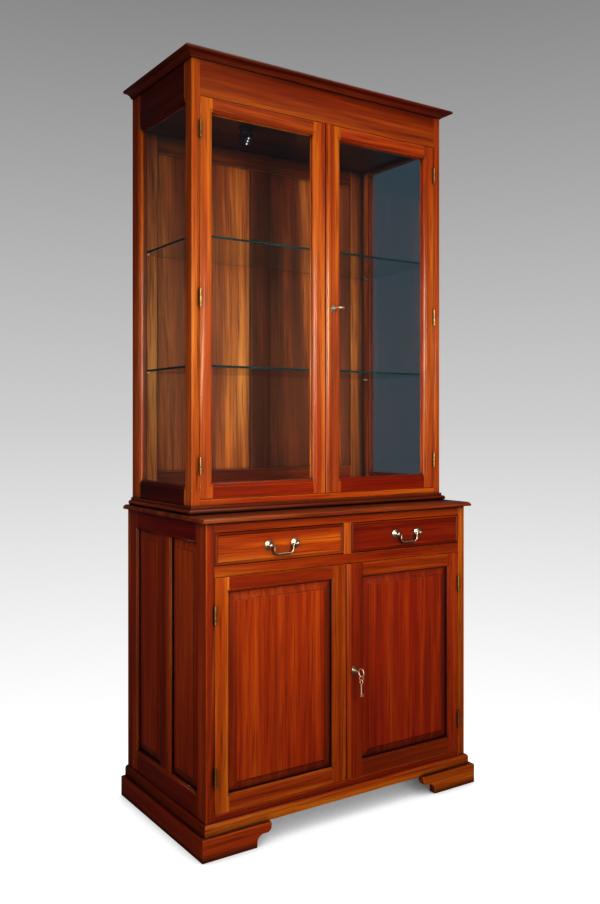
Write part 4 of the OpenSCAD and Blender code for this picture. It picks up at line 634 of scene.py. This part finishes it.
# a head is a fifth as deep as wide, and almost all of it lies below the metal's face
depth_share, sunk_share = 0.2, -0.46
diameter = given["Head Diameter"]
radius = add_node(screws, "ShaderNodeMath", {0: diameter, 1: 0.5}, operation="MULTIPLY").outputs[0]
depth = add_node(screws, "ShaderNodeMath", {0: diameter, 1: depth_share}, operation="MULTIPLY").outputs[0]
head = add_node(screws, "GeometryNodeMeshCylinder",
                {"Vertices": 24, "Radius": radius, "Depth": depth}).outputs["Mesh"]
sunk = add_node(screws, "ShaderNodeMath", {0: depth, 1: sunk_share}, operation="MULTIPLY").outputs[0]
head_drop = add_node(screws, "ShaderNodeCombineXYZ", {2: sunk}).outputs[0]
head_seated = add_node(screws, "GeometryNodeTransform",
                       {"Geometry": head, "Translation": head_drop}).outputs[0]
slot_box = add_node(screws, "ShaderNodeCombineXYZ",
                    {0: diameter, 1: given["Slot Width"], 2: depth}).outputs[0]
cutter = add_node(screws, "GeometryNodeMeshCube", {"Size": slot_box}).outputs["Mesh"]
slotted = add_node(screws, "GeometryNodeMeshBoolean", {"Mesh 1": head_seated, "Mesh 2": cutter},
                   operation="DIFFERENCE", solver="EXACT").outputs["Mesh"]
facing = add_node(screws, "GeometryNodeInputNamedAttribute", {"Name": "facing"},
                  data_type="FLOAT_VECTOR").outputs[0]
outward = add_node(screws, "FunctionNodeAlignRotationToVector", {"Vector": facing}, axis="Z").outputs[0]
turn = add_node(screws, "FunctionNodeRandomValue", {2: 0, 3: 3.14, "Seed": given["Seed"]},
                data_type="FLOAT").outputs[1]
turn_vector = add_node(screws, "ShaderNodeCombineXYZ", {2: turn}).outputs[0]
turn_rotation = add_node(screws, "FunctionNodeEulerToRotation", {0: turn_vector}).outputs[0]
driven = add_node(screws, "FunctionNodeRotateRotation", {0: outward, 1: turn_rotation},
                  rotation_space="LOCAL").outputs[0]
set_in = add_node(screws, "GeometryNodeInstanceOnPoints",
                  {"Points": given["Geometry"], "Instance": slotted, "Rotation": driven}).outputs[0]
solid_heads = add_node(screws, "GeometryNodeRealizeInstances", {0: set_in}).outputs[0]
dressed = add_node(screws, "GeometryNodeSetMaterial",
                   {"Geometry": solid_heads, "Material": given["Metal"]}).outputs[0]
add_node(screws, "NodeGroupOutput", {0: dressed})


def drive_screws(name, places, head_mm, seed, material, body):
    """Sets slotted screw heads at places, each a point and the way it faces, as one plain mesh."""
    points = bpy.data.meshes.new(name + "_points")
    points.from_pydata([place for place, _ in places], [], [])
    points.attributes.new("facing", "FLOAT_VECTOR", "POINT").data.foreach_set(
        "vector", [c for _, way in places for c in way])
    holder = bpy.data.objects.new(name + "_points", points)
    bpy.context.scene.collection.objects.link(holder)
    maker = holder.modifiers.new("screws", "NODES")
    maker.node_group = screws
    maker[head_size.identifier] = head_mm / 1000
    # a slot is a sixth as wide as its head
    maker[slot_size.identifier] = head_mm / 6000
    maker[head_seed.identifier] = seed
    maker[head_metal.identifier] = material
    made = bpy.data.meshes.new_from_object(holder.evaluated_get(bpy.context.evaluated_depsgraph_get()))
    bpy.data.objects.remove(holder)
    made.name = name
    piece = bpy.data.objects.new(name, made)
    bpy.context.scene.collection.objects.link(piece)
    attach(piece, body)


# half a leaf's length, how far heads stay from the plane between closed leaves, and where screws sit
leaf_half, head_clear, screw_in, screw_step = 0.024, 0.00007, 0.009, 0.016
hinge_head_mm, frame_seed = 5.6, 9
frame_screws = []
for number, (stage, side) in enumerate((s, d) for s in ("base", "upper") for d in ("left", "right")):
    low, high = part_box(f"{stage}_{side}_door_leaves")
    axis_x = (low.x + high.x) / 2
    inward = 1 if side == "left" else -1
    ends = (low.z + leaf_half, high.z - leaf_half)
    heights = ends if stage == "base" else (ends[0], sum(ends) / 2, ends[1])
    spots = [(high.y - screw_in, z + step) for z in heights for step in (-screw_step, 0, screw_step)]
    door_screws = [((axis_x + inward * head_clear, y, z), (-inward, 0, 0)) for y, z in spots]
    drive_screws(f"{stage}_{side}_hinge_screws", door_screws, hinge_head_mm, number, old_brass,
                 f"{stage}_{side}_door")
    frame_screws += [((axis_x - inward * head_clear, y, z), (inward, 0, 0)) for y, z in spots]
    finish(f"{stage}_{side}_door_leaves", hinge_brass)
drive_screws("frame_hinge_screws", frame_screws, hinge_head_mm, frame_seed, old_brass, "cabinet")
finish("hinge_frame_leaves", hinge_brass)

# Locks and keys. A pressed steel case let into the back of each right-hand stile with four screws, a
# brass keyhole plate on its face, a sliding bolt, and a brass key with a ring bow. The base key's bow
# carries a ring with a spare key.

key_brass = metal("worn_key_brass", "#f4e6cc", "#a8906c", roughness=0.4, patch_mm=7)
lock_steel = metal("worn_steel", "#b9b7b2", "#8d8880", roughness=0.34, patch_mm=9)
lock_arris, plate_depth = 0.0003, 0.0025
lock_screw_in, lock_screw_proud, lock_head_mm, lock_seed = 0.007, 0.0006, 6, 12
for stage in ("base", "upper"):
    case = eased(stage + "_lock", lock_arris)
    plate_front = min(v.co.y for v in case.verts)
    for face in case.faces:
        face.material_index = 1 if face.calc_center_median().y < plate_front + plate_depth else 0
    lock = stand_for(stage + "_lock", case, lock_steel, f"{stage}_right_door",
                     f"{stage}_lock_and_plate")
    lock.data.materials.append(old_brass)
    finish(stage + "_lock_bolt", lock_steel)
    finish(stage + "_key", key_brass)
    low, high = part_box(stage + "_lock")
    corners = [(x, high.y + lock_screw_proud, z) for x in (low.x + lock_screw_in, high.x - lock_screw_in)
               for z in (low.z + lock_screw_in, high.z - lock_screw_in)]
    drive_screws(stage + "_lock_screws", [(corner, (0, 1, 0)) for corner in corners], lock_head_mm,
                 lock_seed, old_brass, f"{stage}_right_door")
finish("spare_key", key_brass)

# Studio. A pale floor runs out into a grey sweep that only the camera sees; the case stands in a dim,
# slate-coloured room. There is a softbox in front at head height, weaker ones overhead, at the left and
# behind, and two white cards at the left that show only as gloss on the polish.

room = bpy.data.worlds.new("studio")
room.use_nodes = True
room_tree = room.node_tree
room_tree.nodes.clear()
way = add_node(room_tree, "ShaderNodeTexCoord").outputs["Generated"]
rise = add_node(room_tree, "ShaderNodeSeparateXYZ", {0: way}).outputs[2]
climb = add_node(room_tree, "ShaderNodeMapRange",
                 {"Value": rise, "From Min": -0.45, "From Max": 0.45}).outputs[0]
sweep = add_node(room_tree, "ShaderNodeValToRGB", {0: climb})
sweep.color_ramp.elements[0].color = linear("#ffffff")
sweep.color_ramp.elements[1].color = linear("#808080")
sweep.color_ramp.elements.new(0.5).color = linear("#c1c1c1")
sweep_glow = add_node(room_tree, "ShaderNodeBackground", {"Color": sweep.outputs[0]}).outputs[0]
side_way = add_node(room_tree, "ShaderNodeSeparateXYZ", {0: way}).outputs[0]
side_share = add_node(room_tree, "ShaderNodeMapRange",
                      {"Value": side_way, "From Min": -0.7, "From Max": 0.4}).outputs[0]
dim = add_node(room_tree, "ShaderNodeMix", {0: side_share, 6: linear("#2a2829"), 7: linear("#44525c")},
               data_type="RGBA")
dim_glow = add_node(room_tree, "ShaderNodeBackground", {"Color": dim.outputs[2]}).outputs[0]
seen = add_node(room_tree, "ShaderNodeLightPath").outputs["Is Camera Ray"]
both = add_node(room_tree, "ShaderNodeMixShader", {0: seen, 1: dim_glow, 2: sweep_glow}).outputs[0]
add_node(room_tree, "ShaderNodeOutputWorld", {"Surface": both})
bpy.context.scene.world = room
bpy.context.scene.view_settings.view_transform = "Standard"
bpy.context.scene.view_settings.look = "Medium High Contrast"

floor_paint, floor_tree, floor_shader = new_material("white_floor_paint")
floor_place = add_node(floor_tree, "ShaderNodeTexCoord").outputs["Object"]
# distance from the case's footprint, past which the floor fades into the sweep
footprint_half = (0.47, 0.27, 0)
floor_side = add_node(floor_tree, "ShaderNodeVectorMath", {0: floor_place},
                      operation="ABSOLUTE").outputs[0]
floor_past = add_node(floor_tree, "ShaderNodeVectorMath", {0: floor_side, 1: footprint_half},
                      operation="SUBTRACT")
floor_out = add_node(floor_tree, "ShaderNodeVectorMath", {0: floor_past.outputs[0], 1: (0, 0, 0)},
                     operation="MAXIMUM")
floor_far = add_node(floor_tree, "ShaderNodeVectorMath", {0: floor_out.outputs[0]},
                     operation="LENGTH").outputs["Value"]
floor_fade = add_node(floor_tree, "ShaderNodeMapRange",
                      {"Value": floor_far, "From Min": 0.02, "From Max": 0.4, "To Min": 1, "To Max": 0},
                      interpolation_type="SMOOTHSTEP").outputs[0]
floor_tree.links.new(floor_fade, floor_shader.inputs["Alpha"])
# towards the camera the floor glows, except where the case keeps the room's light off it
floor_open = add_node(floor_tree, "ShaderNodeAmbientOcclusion", {"Distance": 0.14},
                      samples=8).outputs["AO"]
floor_glow = add_node(floor_tree, "ShaderNodeMapRange",
                      {"Value": floor_open, "From Min": 0.1, "From Max": 0.8, "To Min": 0,
                       "To Max": 0.93}).outputs[0]
floor_seen = add_node(floor_tree, "ShaderNodeLightPath").outputs["Is Camera Ray"]
floor_white = add_node(floor_tree, "ShaderNodeMath", {0: floor_glow, 1: floor_seen},
                       operation="MULTIPLY").outputs[0]
floor_tree.links.new(floor_white, floor_shader.inputs["Emission Strength"])
floor_shader.inputs["Emission Color"].default_value = linear("#ffffff")
floor_shader.inputs["Base Color"].default_value = linear("#5a5a5a")
floor_shader.inputs["Roughness"].default_value = 0.7
floor_shader.inputs["Specular IOR Level"].default_value = 0.1
floor_half = 4
floor_mesh = bpy.data.meshes.new("studio_floor")
floor_mesh.from_pydata([(-floor_half, -floor_half, 0), (floor_half, -floor_half, 0),
                        (floor_half, floor_half, 0), (-floor_half, floor_half, 0)], [], [(0, 1, 2, 3)])
floor_mesh.materials.append(floor_paint)
floor = bpy.data.objects.new("studio_floor", floor_mesh)
bpy.context.scene.collection.objects.link(floor)


def soft_light(name, place, target, width, height, power):
    """A softbox that faces its target; the camera never sees it, not even through the panes."""
    data = bpy.data.lights.new(name, "AREA")
    data.shape = "RECTANGLE"
    data.size = width
    data.size_y = height
    data.energy = power
    data.spread = math.radians(100)
    lamp = bpy.data.objects.new(name, data)
    lamp.location = place
    lamp.rotation_euler = (Vector(target) - Vector(place)).to_track_quat("-Z", "Y").to_euler()
    lamp.visible_camera = False
    lamp.visible_transmission = False
    bpy.context.scene.collection.objects.link(lamp)
    return lamp


soft_light("front_softbox", (-0.3, -2.5, 1.62), (0, 0, 1.1), width=1.1, height=0.7, power=22)
soft_light("top_softbox", (0.7, -0.9, 3.4), (0, 0, 1.2), width=1.2, height=0.8, power=4)
# light thrown back by a warm wall
left_fill = soft_light("left_fill", (-2.9, -0.9, 1.1), (-0.45, 0, 0.9), width=0.8, height=0.8, power=8)
left_fill.data.color = linear("#ffdcd8")[:3]
# behind the case, so that its back and right end show too, with no mirror image in the panes
back_softbox = soft_light("back_softbox", (1.9, 2.6, 1.3), (0.2, 0.15, 1.0),
                          width=1.2, height=1.2, power=12)
back_softbox.visible_glossy = False
left_card = soft_light("left_card", (-2.6, -2.0, 1.73), (0, 0, 1.73), width=1.0, height=0.7, power=9)
low_card = soft_light("low_card", (-2.6, -2.0, 0.5), (0, 0, 0.5), width=1.0, height=1.2, power=5)
for card in (left_card, low_card):
    card.visible_diffuse = False

# Camera. Level and left of the front, a little above the glazed doors' lower rail, with a lens shift in
# place of a tilt so that uprights stay upright.

camera_data = bpy.data.cameras.new("camera")
camera_data.sensor_width = 36
camera_data.lens = 36.11
camera_data.shift_y = -0.0314
camera = bpy.data.objects.new("camera", camera_data)
camera.location = (-1.5393, -2.2730, 1.1079)
camera.rotation_euler = (math.radians(90), 0, math.radians(-33.91))
bpy.context.scene.collection.objects.link(camera)
bpy.context.scene.camera = camera

bpy.context.view_layer.update()
